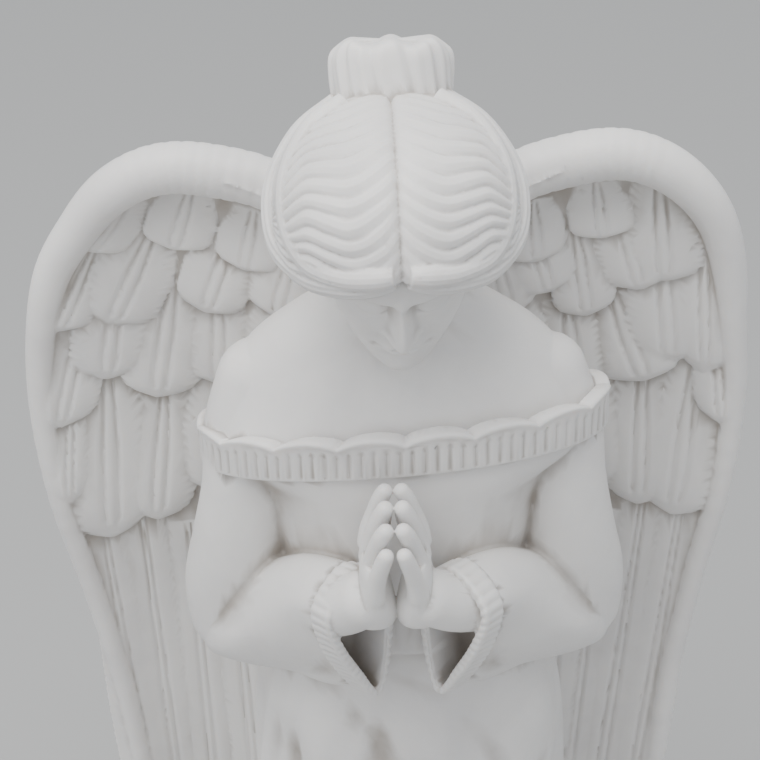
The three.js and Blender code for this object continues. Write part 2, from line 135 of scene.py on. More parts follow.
def closed_form(name, rings, group="body"):
    """A closed solid through rings of points given in carver's millimetres."""
    rings = np.asarray(rings, float) * MM
    count, sides = rings.shape[:2]
    points = np.vstack([rings.reshape(-1, 3), rings[0].mean(0), rings[-1].mean(0)])
    index = np.arange(count * sides).reshape(count, sides)
    a, b = index[:-1], index[1:]
    quads = np.stack([a, np.roll(a, -1, 1), np.roll(b, -1, 1), b], -1).reshape(-1, 4)
    first, last = index[0], index[-1]
    start = np.stack([np.roll(first, -1), first, np.full(sides, count * sides)], -1)
    end = np.stack([last, np.roll(last, -1), np.full(sides, count * sides + 1)], -1)
    corners = points[quads]
    volume = np.einsum("ij,ij->i", corners[:, 0], np.cross(corners[:, 1], corners[:, 2])).sum()
    faces = [quads, start, end]
    if volume < 0:
        faces = [f[:, ::-1] for f in faces]
    obj = mesh_object(name, points, [face for part in faces for face in part.tolist()])
    if group:
        forms[group].append(obj)
    return obj


CAP_RINGS = 6


def limb_rings(stations, sides, rings):
    """Rings of a round limb through x, y, z, radius, with rounded ends."""
    rows = along_rows(stations, np.linspace(0, len(stations) - 1, rings))
    middle, radius = rows[:, :3], rows[:, 3]
    ahead = np.gradient(middle, axis=0)
    ahead /= np.linalg.norm(ahead, axis=1)[:, None]
    cap = np.linspace(0, math.pi / 2, CAP_RINGS + 1)[1:]
    first = middle[0] - ahead[0] * np.sin(cap[::-1])[:, None] * radius[0]
    final = middle[-1] + ahead[-1] * np.sin(cap)[:, None] * radius[-1]
    middle = np.vstack([first, middle, final])
    size = np.concatenate([np.cos(cap[::-1]) * radius[0], radius, np.cos(cap) * radius[-1]])
    ahead = np.vstack([np.repeat(ahead[:1], CAP_RINGS, 0), ahead, np.repeat(ahead[-1:], CAP_RINGS, 0)])
    across = np.cross([0, 1, 0.01], ahead)
    across /= np.linalg.norm(across, axis=1)[:, None]
    up = np.cross(ahead, across)
    angle = np.arange(sides) / sides * math.tau
    size = np.maximum(size, 0.05)[:, None, None]
    ring = across[:, None] * np.cos(angle)[None, :, None] + up[:, None] * np.sin(angle)[None, :, None]
    return middle[:, None] + ring * size


def limb(name, stations, sides=40, rings=60, group="body"):
    return closed_form(name, limb_rings(stations, sides, rings), group)


def mirrored(stations, side, shift=0.0):
    """The same stations on the left (-1) or right (1), moved sideways by shift."""
    return [[side * row[0] + shift, *row[1:]] for row in stations]


# %% [markdown]
# **Base and gown.** The gown falls in long folds from a gathered waist to the
# hem and stands in a low oval base cut from the same block. One tall loft holds
# gown, bodice, bare shoulders and neck, so the skin runs on without a joint.
# Folds are added as waves round the loft that grow towards the hem.

# %% Base, gown, shoulders and neck
BASE = {"width": 142, "depth": 120, "height": 42, "edge": 6}
BODY = [
    [34, 119, 99, 88, 0, 2.1],
    [60, 113, 95, 84, 0, 2.1],
    [150, 104, 86, 78, 0, 2.1],
    [280, 99, 78, 71, 0, 2.1],
    [400, 101, 73, 67, 0, 2.1],
    [480, 98, 67, 63, 0, 2.1],
    [545, 84, 60, 57, 0, 2.1],
    [590, 78, 57, 54, 0, 2.1],
    [640, 81, 63, 54, 0, 2.2],
    [684, 90, 64, 54, 0, 2.3],
    [704, 112, 62, 54, 0, 2.3],
    [718, 112, 59, 52, 0, 2.3],
    [736, 104, 52, 48, 0, 2.2],
    [752, 94, 44, 44, 0, 2.2],
    [766, 83, 37, 41, 0, 2.1],
    [780, 66, 32, 37, 0, 2],
    [792, 47, 29, 34, 0, 2],
    [803, 34, 28, 31, -2, 2],
    [818, 28, 27, 28, -8, 2],
    [838, 27, 27, 27, -16, 2],
    [858, 26, 26, 26, -24, 2],
]
FOLDS = {"count": 9, "depth": 7, "top": 590, "lean": 0.0022}
WAIST = 566


def gown_fold(angle, z):
    """How far the gown stands in or out at an angle and height."""
    fall = smooth(FOLDS["top"] - z, 0, 330)
    lean = FOLDS["lean"] * (FOLDS["top"] - z) * np.cos(angle + math.pi / 2)
    phase = FOLDS["count"] * (angle + lean)
    broad = np.sin(phase + 0.45 * np.sin(phase)) + 0.35 * np.sin(5 * angle + 1.3)
    fine = 0.22 * np.sin(23 * (angle + lean * 1.3) + 1.7 * np.sin(3 * angle))
    return FOLDS["depth"] * fall * (broad + fine)


def swept_fold(x, z):
    """Folds that sweep across the front of the skirt below the sleeves."""
    along = x * 0.82 + (z - 480) * 0.57
    ridge = np.sin(along / 10.5 + 0.6 * np.sin(along / 31))
    return 3.4 * ridge * smooth(z, 330, 450) * smooth(WAIST - z, 4, 40)


def waist_gather(angle, z):
    """The bodice ends in a small ledge, gathered above the skirt."""
    ledge = 3.2 * smooth(z, WAIST - 2, WAIST + 1.5) * smooth(WAIST + 46 - z, 0, 44)
    pleat = np.abs(np.sin(34 * angle + 0.8 * np.sin(9 * angle))) ** 0.6
    return ledge * (0.45 + 0.55 * pleat)


def base_rings():
    turn = np.arange(240) / 240 * math.tau
    levels = [(0, 4), (1.2, 2), (3, 0.6), (6, 0)]
    levels += [(z, 0.15 * z / 40) for z in range(8, 36, 2)]
    levels += [(BASE["height"] - 6 + 6 * math.sin(a), 6 - 6 * math.cos(a) + 0.3)
               for a in np.linspace(0, math.pi / 2, 7)]
    levels += [(BASE["height"] + 0.2, inset) for inset in (12, 24, 40, 60)]
    rings = []
    for z, inset in levels:
        x, y = oval(turn, BASE["width"] - inset, BASE["depth"] - inset, BASE["depth"] - inset, 2.4)
        rough = 0.5 * np.sin(7 * turn + z * 0.11) + 0.3 * np.sin(19 * turn - z * 0.2)
        grow = 1 + rough * (0.0 if z < 3 else 1.0) / np.hypot(x, y)
        rings.append(np.stack([x * grow, y * grow, np.full_like(x, z)], -1))
    return rings


def body_rings():
    angle = np.arange(360) / 360 * math.tau
    heights = np.arange(34, 857, 2.2)
    table = read_rows(BODY, heights)
    rings = []
    for z, (half_width, front, back, middle, square) in zip(heights, table):
        x, y = oval(angle, half_width, front, back, square)
        push = gown_fold(angle, z) + waist_gather(angle, z)
        push = push + swept_fold(x, z) * smooth(-y, 10, 45)
        grow = 1 + push / np.hypot(x, y)
        rings.append(np.stack([x * grow, y * grow + middle, np.full_like(x, z)], -1))
    return rings


closed_form("base", base_rings())
closed_form("body", body_rings())
print("base and body:", [len(o.data.polygons) for o in forms["body"]])

# %% [markdown]
# **Arms and bell sleeves.** The upper sleeve is close to the arm; below the
# elbow it opens into a bell that hangs under the wrist. A cup-shaped loft makes
# the bell: rings run out to the mouth and then back inside it, one wall away.
# The mouth fits round the wrist on top and hangs to a point near the middle, so
# its shape is a short table of its own that the rings turn into.

# %% Arms and sleeves
ARM = [
    [82, -2, 738, 24.5],
    [90, -8, 706, 26],
    [92, -12, 665, 28],
    [99, -10, 622, 30],
    [105, -5, 585, 31.5],
    [106, -4, 558, 30.5],
]
RIGHT_ARM = {"out": 5, "slim": 2.5}
SLEEVE = [
    [120, 12, 560, 15, 18],
    [112, 3, 560, 27, 30],
    [100, -10, 563, 31, 36],
    [81, -32, 577, 30, 43],
    [62, -56, 594, 27, 51],
    [43, -76, 605, 25, 54],
    [27, -92, 610, 25, 54],
]
MOUTH_SHAPE = [
    [-135, -3, -28],
    [-90, 12, -53],
    [-45, 21, -33],
    [0, 25, 0],
    [45, 22, 32],
    [90, 0, 54],
    [135, -24, 38],
    [180, -18, 6],
    [225, -3, -28],
    [270, 12, -53],
    [315, 21, -33],
]
FOREARM = [
    [70, -48, 606, 17],
    [52, -68, 620, 19],
    [33, -91, 640, 18.5],
    [18, -103, 655, 16.5],
]
HAND_SHIFT = -6
MOUTH = len(SLEEVE) - 1
WALL = 4.5
CUFF = {"start": 5.3, "proud": 2.4}


def sleeve_ring(place, side, offset):
    """One upright ring of the sleeve. Angle 90 is its top, -90 its hem."""
    x, y, z, half_width, half_height = along_rows(SLEEVE, place)[0]
    near = along_rows(SLEEVE, [max(place - 0.1, 0), min(place + 0.1, MOUTH)])
    along = near[1, :2] - near[0, :2]
    along /= np.linalg.norm(along)
    angle = np.arange(200) / 200 * math.tau - math.pi / 2
    offset = offset(angle) if callable(offset) else offset
    mouth_across, mouth_up = read_rows(MOUTH_SHAPE, np.degrees(angle)).T
    opened = smooth(place, 2.5, MOUTH)
    across = np.cos(angle) * half_width * (1 - 0.18 * np.maximum(0, np.sin(angle)))
    across = mix(across, mouth_across, opened) + np.cos(angle) * offset
    up = mix(np.sin(angle) * half_height, mouth_up, opened) + np.sin(angle) * offset
    return np.stack([side * (x + along[1] * across), y - along[0] * across, z + up], -1)


def sleeve_fold(angle, place):
    """Folds that spread from the crook of the elbow towards the hem."""
    spread = angle * 3.1 + place * 1.15
    fold = np.sin(spread + 0.5 * np.sin(spread))
    strength = smooth(place, 0.6, 1.8) * smooth(MOUTH - place, 0.5, 1.6)
    low_side = 0.35 + 0.65 * smooth(-np.sin(angle), -0.5, 0.7)
    return 3.0 * fold * strength * low_side


def make_sleeve(side):
    rings = [sleeve_ring(p, side, lambda a, p=p: sleeve_fold(a, p))
             for p in np.linspace(0, MOUTH - 0.02, 110)]
    rings += [sleeve_ring(MOUTH, side, -WALL * s) for s in (0.25, 0.75)]
    rings += [sleeve_ring(p, side, -WALL) for p in np.linspace(MOUTH, 4.9, 24)]
    rings += [sleeve_ring(4.9 - 0.4 * s, side, -WALL - 9 * s * s) for s in np.linspace(0.1, 1, 10)]
    return closed_form("sleeve", rings)


def arm_rows(side):
    """The arm on the right is held a little further out and is slimmer."""
    out, slim = (RIGHT_ARM["out"], RIGHT_ARM["slim"]) if side > 0 else (0, 0)
    rows = []
    for x, y, z, radius in ARM:
        upper = float(smooth(z, 600, 680))
        rows.append([side * (x + out * upper), y, z, radius - slim * upper])
    return rows


def forearm_rows(side):
    return [[side * x + HAND_SHIFT * i / 3, y, z, r] for i, (x, y, z, r) in enumerate(FOREARM)]


for side in (-1, 1):
    limb("upper arm", arm_rows(side))
    limb("forearm", forearm_rows(side), 64, 90)
    limb("wrist", forearm_rows(side)[1:], 64, 60, "fine")
    make_sleeve(side)
print("arms and sleeves done, forms of the body:", len(forms["body"]))

# %% [markdown]
# **Hands.** Palm to palm, the fingertips touch and the fingers bow outwards, so
# a dark gap stays between the palms. Fingers are limbs bent at their joints,
# nails are thin shells on their backs, and the palm is a short loft.

# %% Hands
FINGERS = [
    [(15, -87, 684, 6.2), (14, -87, 694, 5.6), (10.5, -87, 706, 5.2),
     (7.2, -87, 716, 5), (4.8, -87, 721, 4.6)],
    [(14.5, -97, 682, 6.2), (13.6, -98, 692, 5.7), (10.6, -101, 706, 5.4),
     (7.2, -103, 717, 5.1), (4.9, -104, 723, 4.7)],
    [(13.6, -107, 677, 6), (12.8, -109, 688, 5.6), (10.2, -112, 701, 5.3),
     (7.2, -115, 712, 5), (4.9, -116, 717, 4.6)],
    [(11.6, -116, 668, 5.8), (11, -118, 678, 5.3), (9.2, -121, 690, 5),
     (6.8, -123, 700, 4.8), (5, -124, 706, 4.4)],
]
THUMB = [(17, -92, 655, 7.5), (13, -84, 667, 7), (9, -79, 682, 6), (5.5, -78, 696, 4.9)]
PALM = [
    [641, 12.5, -101, 12.5, 14, 2.2],
    [650, 12, -102, 12, 16, 2.2],
    [660, 12, -101, 10, 19, 2.3],
    [672, 13, -101, 7.6, 20, 2.4],
    [684, 13.6, -101, 6.4, 19, 2.4],
    [690, 13.4, -101, 4.5, 17, 2.4],
]


def ellipsoid(name, middle, half, group, sides=48, rings=28):
    turn = np.arange(sides) / sides * math.tau
    levels = [np.stack([middle[0] + half[0] * math.cos(a) * np.cos(turn),
                        middle[1] + half[1] * math.cos(a) * np.sin(turn),
                        np.full(sides, middle[2] + half[2] * math.sin(a))], -1)
              for a in np.linspace(-math.pi / 2, math.pi / 2, rings)[1:-1]]
    return closed_form(name, levels, group)


def make_hand(side):
    for finger in FINGERS:
        limb("finger", mirrored(finger, side, HAND_SHIFT), 28, 30, "fine")
        x, y, z, radius = finger[-1]
        back_of_tip = (side * (x + radius * 0.72) + HAND_SHIFT, y, z - 1.2)
        ellipsoid("nail", back_of_tip, (1.7, 2.9, 3.6), "fine", 20, 14)
    limb("thumb", mirrored(THUMB, side, HAND_SHIFT), 28, 30, "fine")
    turn = np.arange(64) / 64 * math.tau
    rings = []
    levels = np.linspace(PALM[0][0], PALM[-1][0], 30)
    for z, (x, y, half_thick, half_wide, square) in zip(levels, read_rows(PALM, levels)):
        px, py = oval(turn, half_thick, half_wide, half_wide, square)
        rings.append(np.stack([side * x + HAND_SHIFT + px, y + py, np.full_like(px, z)], -1))
    closed_form("palm", rings, "fine")


for side in (-1, 1):
    make_hand(side)
print("forms of the hands:", len(forms["fine"]))

# %% [markdown]
# **Head and face.** The head bows over the hands. It is a loft in its own frame
# (right, forward, up), and the face is cut into its front by adding and taking
# away soft bumps: brow, closed lids, nose, lips and chin, on the classical
# rule of thirds. A formula keeps both halves of the face alike.

# %% Head and face
HEAD = {"middle": np.array([0, -37, 872.0]), "bow": math.radians(22), "turn": math.radians(1.5)}
SKULL = [
    [-84, 8, 44, 24],
    [-78, 17, 49, 8],
    [-66, 26, 50, -5],
    [-52, 32, 51.5, -14],
    [-38, 37, 52.5, -24],
    [-24, 40, 53, -35],
    [-10, 41.5, 53.5, -45],
    [4, 43, 56, -50],
    [20, 43.5, 55, -52],
    [36, 37, 45, -44],
    [46, 22, 26, -28],
]


def head_place(right, forward, up):
    """From the head's own frame to the statue's."""
    right, forward, up = np.broadcast_arrays(*(np.asarray(v, float) for v in (right, forward, up)))
    c, s = math.cos(HEAD["turn"]), math.sin(HEAD["turn"])
    x, y = right * c + forward * s, right * s - forward * c
    c, s = math.cos(HEAD["bow"]), math.sin(HEAD["bow"])
    return np.stack([x, y * c - up * s, y * s + up * c], -1) + HEAD["middle"]


def bump(r, u, at, size, height, power=2):
    """A soft hill (or hollow) on the face."""
    away = np.abs((np.abs(r) - at[0]) / size[0]) ** power + np.abs((u - at[1]) / size[1]) ** power
    return height * np.exp(-away)


def face_relief(r, u):
    """How far the face stands forward of the plain loft."""
    arch = -3 + 3.5 * np.exp(-((np.abs(r) - 19) / 11) ** 2)
    out = 2.2 * np.exp(-((u - arch) / 4.2) ** 2) * smooth(32 - np.abs(r), 0, 14)
    out += bump(r, u, (17, -13.5), (11.5, 7.5), -5.2)
    out += bump(r, u, (17.2, -15), (9.2, 6.2), 4.6, 2.6)
    lash = -18.2 + 0.028 * (np.abs(r) - 17) ** 2
    out += -1.3 * np.exp(-((u - lash) / 0.9) ** 2) * smooth(10 - np.abs(np.abs(r) - 17), 0, 3)
    out += 0.7 * np.exp(-((u - lash - 1.7) / 1.1) ** 2) * smooth(10 - np.abs(np.abs(r) - 17), 0, 3)
    crease = -9.6 - 0.03 * (np.abs(r) - 17) ** 2
    out += -1.0 * np.exp(-((u - crease) / 1.0) ** 2) * smooth(10.5 - np.abs(np.abs(r) - 17), 0, 4)
    out += bump(r, u, (6.5, -12), (4.5, 8), -2.2)
    height = mix(2.6, 13.5, smooth(-u, -1, 34)) * smooth(u, -39.5, -34.5) * smooth(8 - u, 0, 14)
    width = mix(3.4, 5.6, smooth(-u, 4, 33))
    out += height * np.exp(-np.abs(r / width) ** 2.4)
    out += bump(r, u, (6.6, -34.8), (3.2, 3.4), 4.2)
    out += bump(r, u, (3.4, -38.6), (1.7, 1.5), -2.4)
    out += bump(r, u, (25, -31), (11, 11), 1.8)
    out += bump(r, u, (14.5, -42), (5, 9), -1.0)
    bow = -49 + 0.9 * np.exp(-((np.abs(r) - 3.2) / 2.2) ** 2) - 0.022 * r**2
    out += 2.7 * np.exp(-((u - bow) / 2.4) ** 2) * smooth(14.5 - np.abs(r), 0, 7)
    out += 3.0 * np.exp(-((u + 55.2 - 0.012 * r**2) / 2.6) ** 2) * smooth(12 - np.abs(r), 0, 7)
    line = -52.1 + 0.25 * np.cos(r / 2.1) - 0.004 * r**2
    out += -2.3 * np.exp(-((u - line) / 0.85) ** 2) * smooth(14.5 - np.abs(r), 0, 4)
    out += bump(r, u, (14.8, -52.2), (2.2, 2.6), -1.2)
    out += bump(r, u, (0, -44), (1.7, 4), -0.9)
    out += bump(r, u, (0, -60.5), (9, 3), -2.0)
    out += bump(r, u, (0, -71), (9, 7.5), 3.2)
    out += bump(r, u, (40, -2), (8, 12), -1.5)
    return out


def head_rings():
    heights = np.arange(-84, 46.1, 0.6)
    angle = np.arange(320) / 320 * math.tau
    rings = []
    for up, (half_width, front, back) in zip(heights, read_rows(SKULL, heights)):
        half = (front - back) / 2
        x, y = oval(angle, half_width, half, half, 2.1)
        forward = (front + back) / 2 - y
        facing = smooth(-y / half, 0.15, 0.75)
        forward = forward + face_relief(x, up) * facing
        rings.append(head_place(x, forward, up))
    return rings


closed_form("head", head_rings(), "head")
print("head:", len(forms["head"][-1].data.polygons), "faces")

# %% [markdown]
# **Hair.** Parted in the middle, it runs in waved locks from the part towards
# the ears, framed by long rolls swept back to a bun. A lock is a path with a
# grooved profile swept along it, which is a job for Geometry Nodes: one tree
# takes every path and gives it the same profile, with inputs for how flat the
# lock is and how many strands are cut into it.

# %% A tree that sweeps grooved locks along paths
def new_tree(name, inputs):
    """A Geometry Nodes tree with a geometry input and named number inputs."""
    tree = bpy.data.node_groups.new(name, "GeometryNodeTree")
    tree.interface.new_socket("Geometry", in_out="INPUT", socket_type="NodeSocketGeometry")
    for label, kind, value in inputs:
        socket = tree.interface.new_socket(label, in_out="INPUT", socket_type=kind)
        if value is not None:
            socket.default_value = value
    tree.interface.new_socket("Geometry", in_out="OUTPUT", socket_type="NodeSocketGeometry")
    return tree, tree.nodes.new("NodeGroupInput"), tree.nodes.new("NodeGroupOutput")


def add_node(tree, kind, settings=None, **links):
    """Add a node, set its settings, and link or fill its inputs by name or index."""
    node = tree.nodes.new(kind)
    for key, value in (settings or {}).items():
        setattr(node, key, value)
    for key, value in links.items():
        numbered = key[0] == "i" and key[1:].isdigit()
        socket = node.inputs[int(key[1:]) if numbered else key.replace("_", " ")]
        if isinstance(value, bpy.types.NodeSocket):
            tree.links.new(value, socket)
        else:
            socket.default_value = value
    return node


def do_math(tree, operation, a, b=0.0):
    return add_node(tree, "ShaderNodeMath", {"operation": operation}, i0=a, i1=b).outputs[0]


def lock_tree():
    tree, start, end = new_tree("Swept locks", [
        ("Profile points", "NodeSocketInt", 24),
        ("Strands", "NodeSocketFloat", 7.0),
        ("Groove depth", "NodeSocketFloat", 0.12),
        ("Flatness", "NodeSocketFloat", 0.7),
        ("Material", "NodeSocketMaterial", None),
    ])
    circle = add_node(tree, "GeometryNodeCurvePrimitiveCircle",
                      Resolution=start.outputs["Profile points"], Radius=1.0)
    place = add_node(tree, "GeometryNodeInputPosition").outputs[0]
    parts = add_node(tree, "ShaderNodeSeparateXYZ", i0=place)
    angle = do_math(tree, "ARCTAN2", parts.outputs[1], parts.outputs[0])
    wave = do_math(tree, "SINE", do_math(tree, "MULTIPLY", angle, start.outputs["Strands"]))
    cut = do_math(tree, "MULTIPLY", do_math(tree, "ABSOLUTE", wave), start.outputs["Groove depth"])
    grow = do_math(tree, "ADD", cut, 1.0)
    flat = do_math(tree, "MULTIPLY", grow, start.outputs["Flatness"])
    shape = add_node(tree, "ShaderNodeCombineXYZ",
                     i0=do_math(tree, "MULTIPLY", parts.outputs[0], grow),
                     i1=do_math(tree, "MULTIPLY", parts.outputs[1], flat), i2=0.0).outputs[0]
    profile = add_node(tree, "GeometryNodeSetPosition", Geometry=circle.outputs[0], Position=shape)
    sweep = add_node(tree, "GeometryNodeCurveToMesh", Curve=start.outputs["Geometry"],
                     Profile_Curve=profile.outputs[0], Fill_Caps=True)
    radius = add_node(tree, "GeometryNodeInputRadius").outputs[0]
    if "Scale" in sweep.inputs:
        tree.links.new(radius, sweep.inputs["Scale"])
    real = add_node(tree, "GeometryNodeRealizeInstances", i0=sweep.outputs[0])
    stone = add_node(tree, "GeometryNodeSetMaterial", Geometry=real.outputs[0],
                     Material=start.outputs["Material"])
    tree.links.new(stone.outputs[0], end.inputs[0])
    return tree


def run_tree(obj, tree, values, name):
    """Put a tree on an object, set its inputs, and keep the plain mesh it makes."""
    modifier = obj.modifiers.new(name, "NODES")
    modifier.node_group = tree
    for item in tree.interface.items_tree:
        if item.item_type == "SOCKET" and item.in_out == "INPUT" and item.name in values:
            modifier[item.identifier] = values[item.name]
    bpy.context.view_layer.update()
    made = obj.evaluated_get(bpy.context.evaluated_depsgraph_get())
    mesh = bpy.data.meshes.new_from_object(made)
    result = bpy.data.objects.new(name, mesh)
    bpy.context.scene.collection.objects.link(result)
    bpy.data.objects.remove(obj)
    return result


def path_object(name, paths):
    """Poly curves from lists of points, each point with its own radius."""
    curve = bpy.data.curves.new(name, "CURVE")
    curve.dimensions = "3D"
    for points, radius in paths:
        spline = curve.splines.new("POLY")
        spline.points.add(len(points) - 1)
        spline.points.foreach_set("co", np.column_stack([points * MM, np.ones(len(points))]).ravel())
        spline.points.foreach_set("radius", np.asarray(radius, float) * MM)
    obj = bpy.data.objects.new(name, curve)
    bpy.context.scene.collection.objects.link(obj)
    return obj


stone = bpy.data.materials.new("white marble")
sweep_locks = lock_tree()
print("tree:", sweep_locks.name, len(sweep_locks.nodes), "nodes")

# %% [markdown]
# The hair on the crown is one surface, made of slices that turn about the line
# from ear to ear like segments of an orange. The waves are cut into it. Each lock
# leaves the part from behind, runs forward and out to a trough, rises to a crest
# and dips again at the side, so how far along it is decides how far it has run
# forward. Sharp valleys part the locks, and finer strands run inside each.

# %% Waved hair
HAIR = {"width": 66, "length": 68, "height": 61, "hairline": 24, "nape": 222}
WAVE = {"pitch": 9.0, "front_run": 14.5, "back_run": 9.5, "depth": 2.7, "strands": 3}
RUN = [[0, 0], [0.12, 0.55], [0.33, 1.0], [0.52, 0.84],
       [0.70, 0.60], [0.84, 0.80], [0.95, 1.02], [1.0, 1.06]]


def hair_point(slice_, t, sink=0.0):
    """A point on the hair: slice in degrees, t from the part (0) to an ear (-1 or 1)."""
    across = np.sin(t * math.pi / 2)
    out = np.maximum(0.02, np.cos(t * math.pi / 2)) ** 0.8
    turn = np.radians(slice_)
    return head_place(across * (HAIR["width"] - sink), np.cos(turn) * (HAIR["length"] - sink) * out,
                      np.sin(turn) * (HAIR["height"] - sink) * out)


def wave_relief(slice_, t):
    """How deep the hair is cut at a place on the crown."""
    side = np.abs(t) / 0.74
    wander = 0.9 * np.sin(slice_ / 13.0 + 1.7 * np.sign(t)) + 0.5 * np.sin(slice_ / 5.1 + 3 * t)
    run = mix(WAVE["front_run"], WAVE["back_run"], smooth(slice_, 45, 115))
    lock = (slice_ + run * read_rows(RUN, side.ravel())[:, 0].reshape(side.shape) + wander) / WAVE["pitch"]
    hill = np.abs(np.sin(math.pi * lock)) ** 0.55
    strand = np.abs(np.sin(math.pi * WAVE["strands"] * lock + 0.7 * np.sin(7 * side))) ** 0.7
    far = smooth(side, 0.03, 0.35)
    depth = WAVE["depth"] * mix(0.42, 1.0, far) * mix(0.5, 1.0, smooth(150 - slice_, 5, 70))
    cut = depth * (1 - hill) + 0.75 * mix(1, 0.8, far) * (1 - strand) * smooth(hill, 0.2, 0.7)
    part = 3.6 * np.exp(-(np.abs(t) * 103 / 1.5) ** 1.3) + 2.0 * np.exp(-(np.abs(t) * 103 / 7) ** 2)
    return cut * smooth(172 - slice_, 0, 30) + part * smooth(165 - slice_, 0, 22)


def hair_cap_rings():
    t = np.linspace(-0.93, 0.93, 380)
    rings = []
    for slice_ in np.linspace(HAIR["hairline"], HAIR["nape"], 620):
        dip = -22 * smooth(np.abs(t), 0.25, 0.85) * smooth(60 - slice_, 0, 30)
        arch = hair_point(slice_ + dip, t, sink=wave_relief(slice_ + dip, t))
        rings.append(np.vstack([arch, head_place([30, -30], 0, 0)]))
    return rings


closed_form("waved hair", hair_cap_rings(), "head")
print("waved hair:", len(forms["head"][-1].data.polygons), "faces")

# %% [markdown]
# Two long rolls on each side frame the waves, from the brow round the temple and
# over the ear to the bun. They are swept by the same tree with more strands, and
# so are the locks that climb from the nape at the back.

# %% Side rolls and the hair at the back
OUTER_ROLL = [(4, 55, 24, 6.5), (14, 54, 20, 8.5), (29, 50, 15, 9), (45, 38, 7, 9.5), (57, 12, -2, 11.5),
              (58, -16, 4, 11.5), (46, -40, 16, 9.5), (26, -52, 28, 8)]
INNER_ROLL = [(4, 58, 29, 5), (14, 57, 27, 6.5), (29, 52, 22, 6.5), (45, 39, 17, 7), (54, 18, 20, 7.5),
              (54, -8, 28, 7), (42, -32, 36, 6), (24, -46, 40, 5)]


def head_path(stations, side, steps=90):
    rows = along_rows(stations, np.linspace(0, len(stations) - 1, steps))
    return head_place(side * rows[:, 0], rows[:, 1], rows[:, 2]), rows[:, 3]


roll_paths = [head_path(roll, side) for side in (-1, 1) for roll in (OUTER_ROLL, INNER_ROLL)]
rolls = run_tree(path_object("roll paths", roll_paths), sweep_locks,
                 {"Profile points": 64, "Strands": 8.0, "Groove depth": 0.1, "Flatness": 0.95,
                  "Material": stone}, "side rolls")
forms["head"].append(rolls)
nape_paths = []
for number in range(13):
    t = mix(-0.62, 0.62, number / 12)
    s = np.linspace(0, 1, 50)
    slice_ = mix(218, 150, s)
    path = hair_point(slice_, t * mix(1, 0.45, smooth(s, 0.1, 1)), sink=2.5)
    nape_paths.append((path, mix(6.5, 4.5, s) * mix(0.6, 1, smooth(s, 0, 0.15))))
nape = run_tree(path_object("nape paths", nape_paths), sweep_locks,
                {"Strands": 5.0, "Groove depth": 0.12, "Flatness": 0.85, "Material": stone},
                "nape locks")
forms["head"].append(nape)
print("rolls:", len(rolls.data.polygons), "nape:", len(nape.data.polygons))

# %% [markdown]
# **Bun.** A coil of hair on the crown, leaning back a little. Its side is
# fluted, the flutes lean, and the top edge bulges in three lobes.

# %% Bun
BUN = {"y": 2, "z": 900, "height": 47, "tilt": math.radians(25), "width": 32, "depth": 22}
BUN_SIZE = [[0, 0.84], [0.35, 0.98], [0.75, 1.03], [0.9, 0.99], [0.97, 0.86], [1, 0.6]]


def bun_rings():
    angle = np.arange(260) / 260 * math.tau
    rounded = 0.9 + 0.1 * np.sin(np.linspace(0, math.pi / 2, 16))
    level = np.concatenate([np.linspace(0, 0.9, 50), rounded])
    size = read_rows(BUN_SIZE, level)[:, 0]
    rings = []
    for up, grow in zip(level, size):
        flute = 0.055 * np.abs(np.sin(6 * angle + 2.2 * up)) + 0.02 * np.sin(23 * angle + 5 * up)
        x, y = oval(angle, BUN["width"], BUN["depth"], BUN["depth"], 2.2)
        x, y = x * (grow + flute - 0.04), y * (grow + flute - 0.04)
        lobes = 3.4 * np.cos(3 * math.pi * x / (2 * BUN["width"])) ** 2 * smooth(up, 0.6, 0.95)
        z = up * BUN["height"] + lobes
        c, s = math.cos(BUN["tilt"]), math.sin(BUN["tilt"])
        rings.append(np.stack([x, BUN["y"] + y * c + z * s, BUN["z"] - y * s + z * c], -1))
    return rings


closed_form("bun", bun_rings(), "head")
print("bun:", len(forms["head"][-1].data.polygons), "faces, forms of the head:", len(forms["head"]))

# %% [markdown]
# **Bands.** A frilled band runs round the bare shoulders, and a narrow pleated
# one round each cuff. Each starts as a plain closed hoop whose points know how
# far round they are and how near the frilled edge. One Geometry Nodes tree then
# cuts scallops and pleats into any hoop, with their number and depth as inputs.

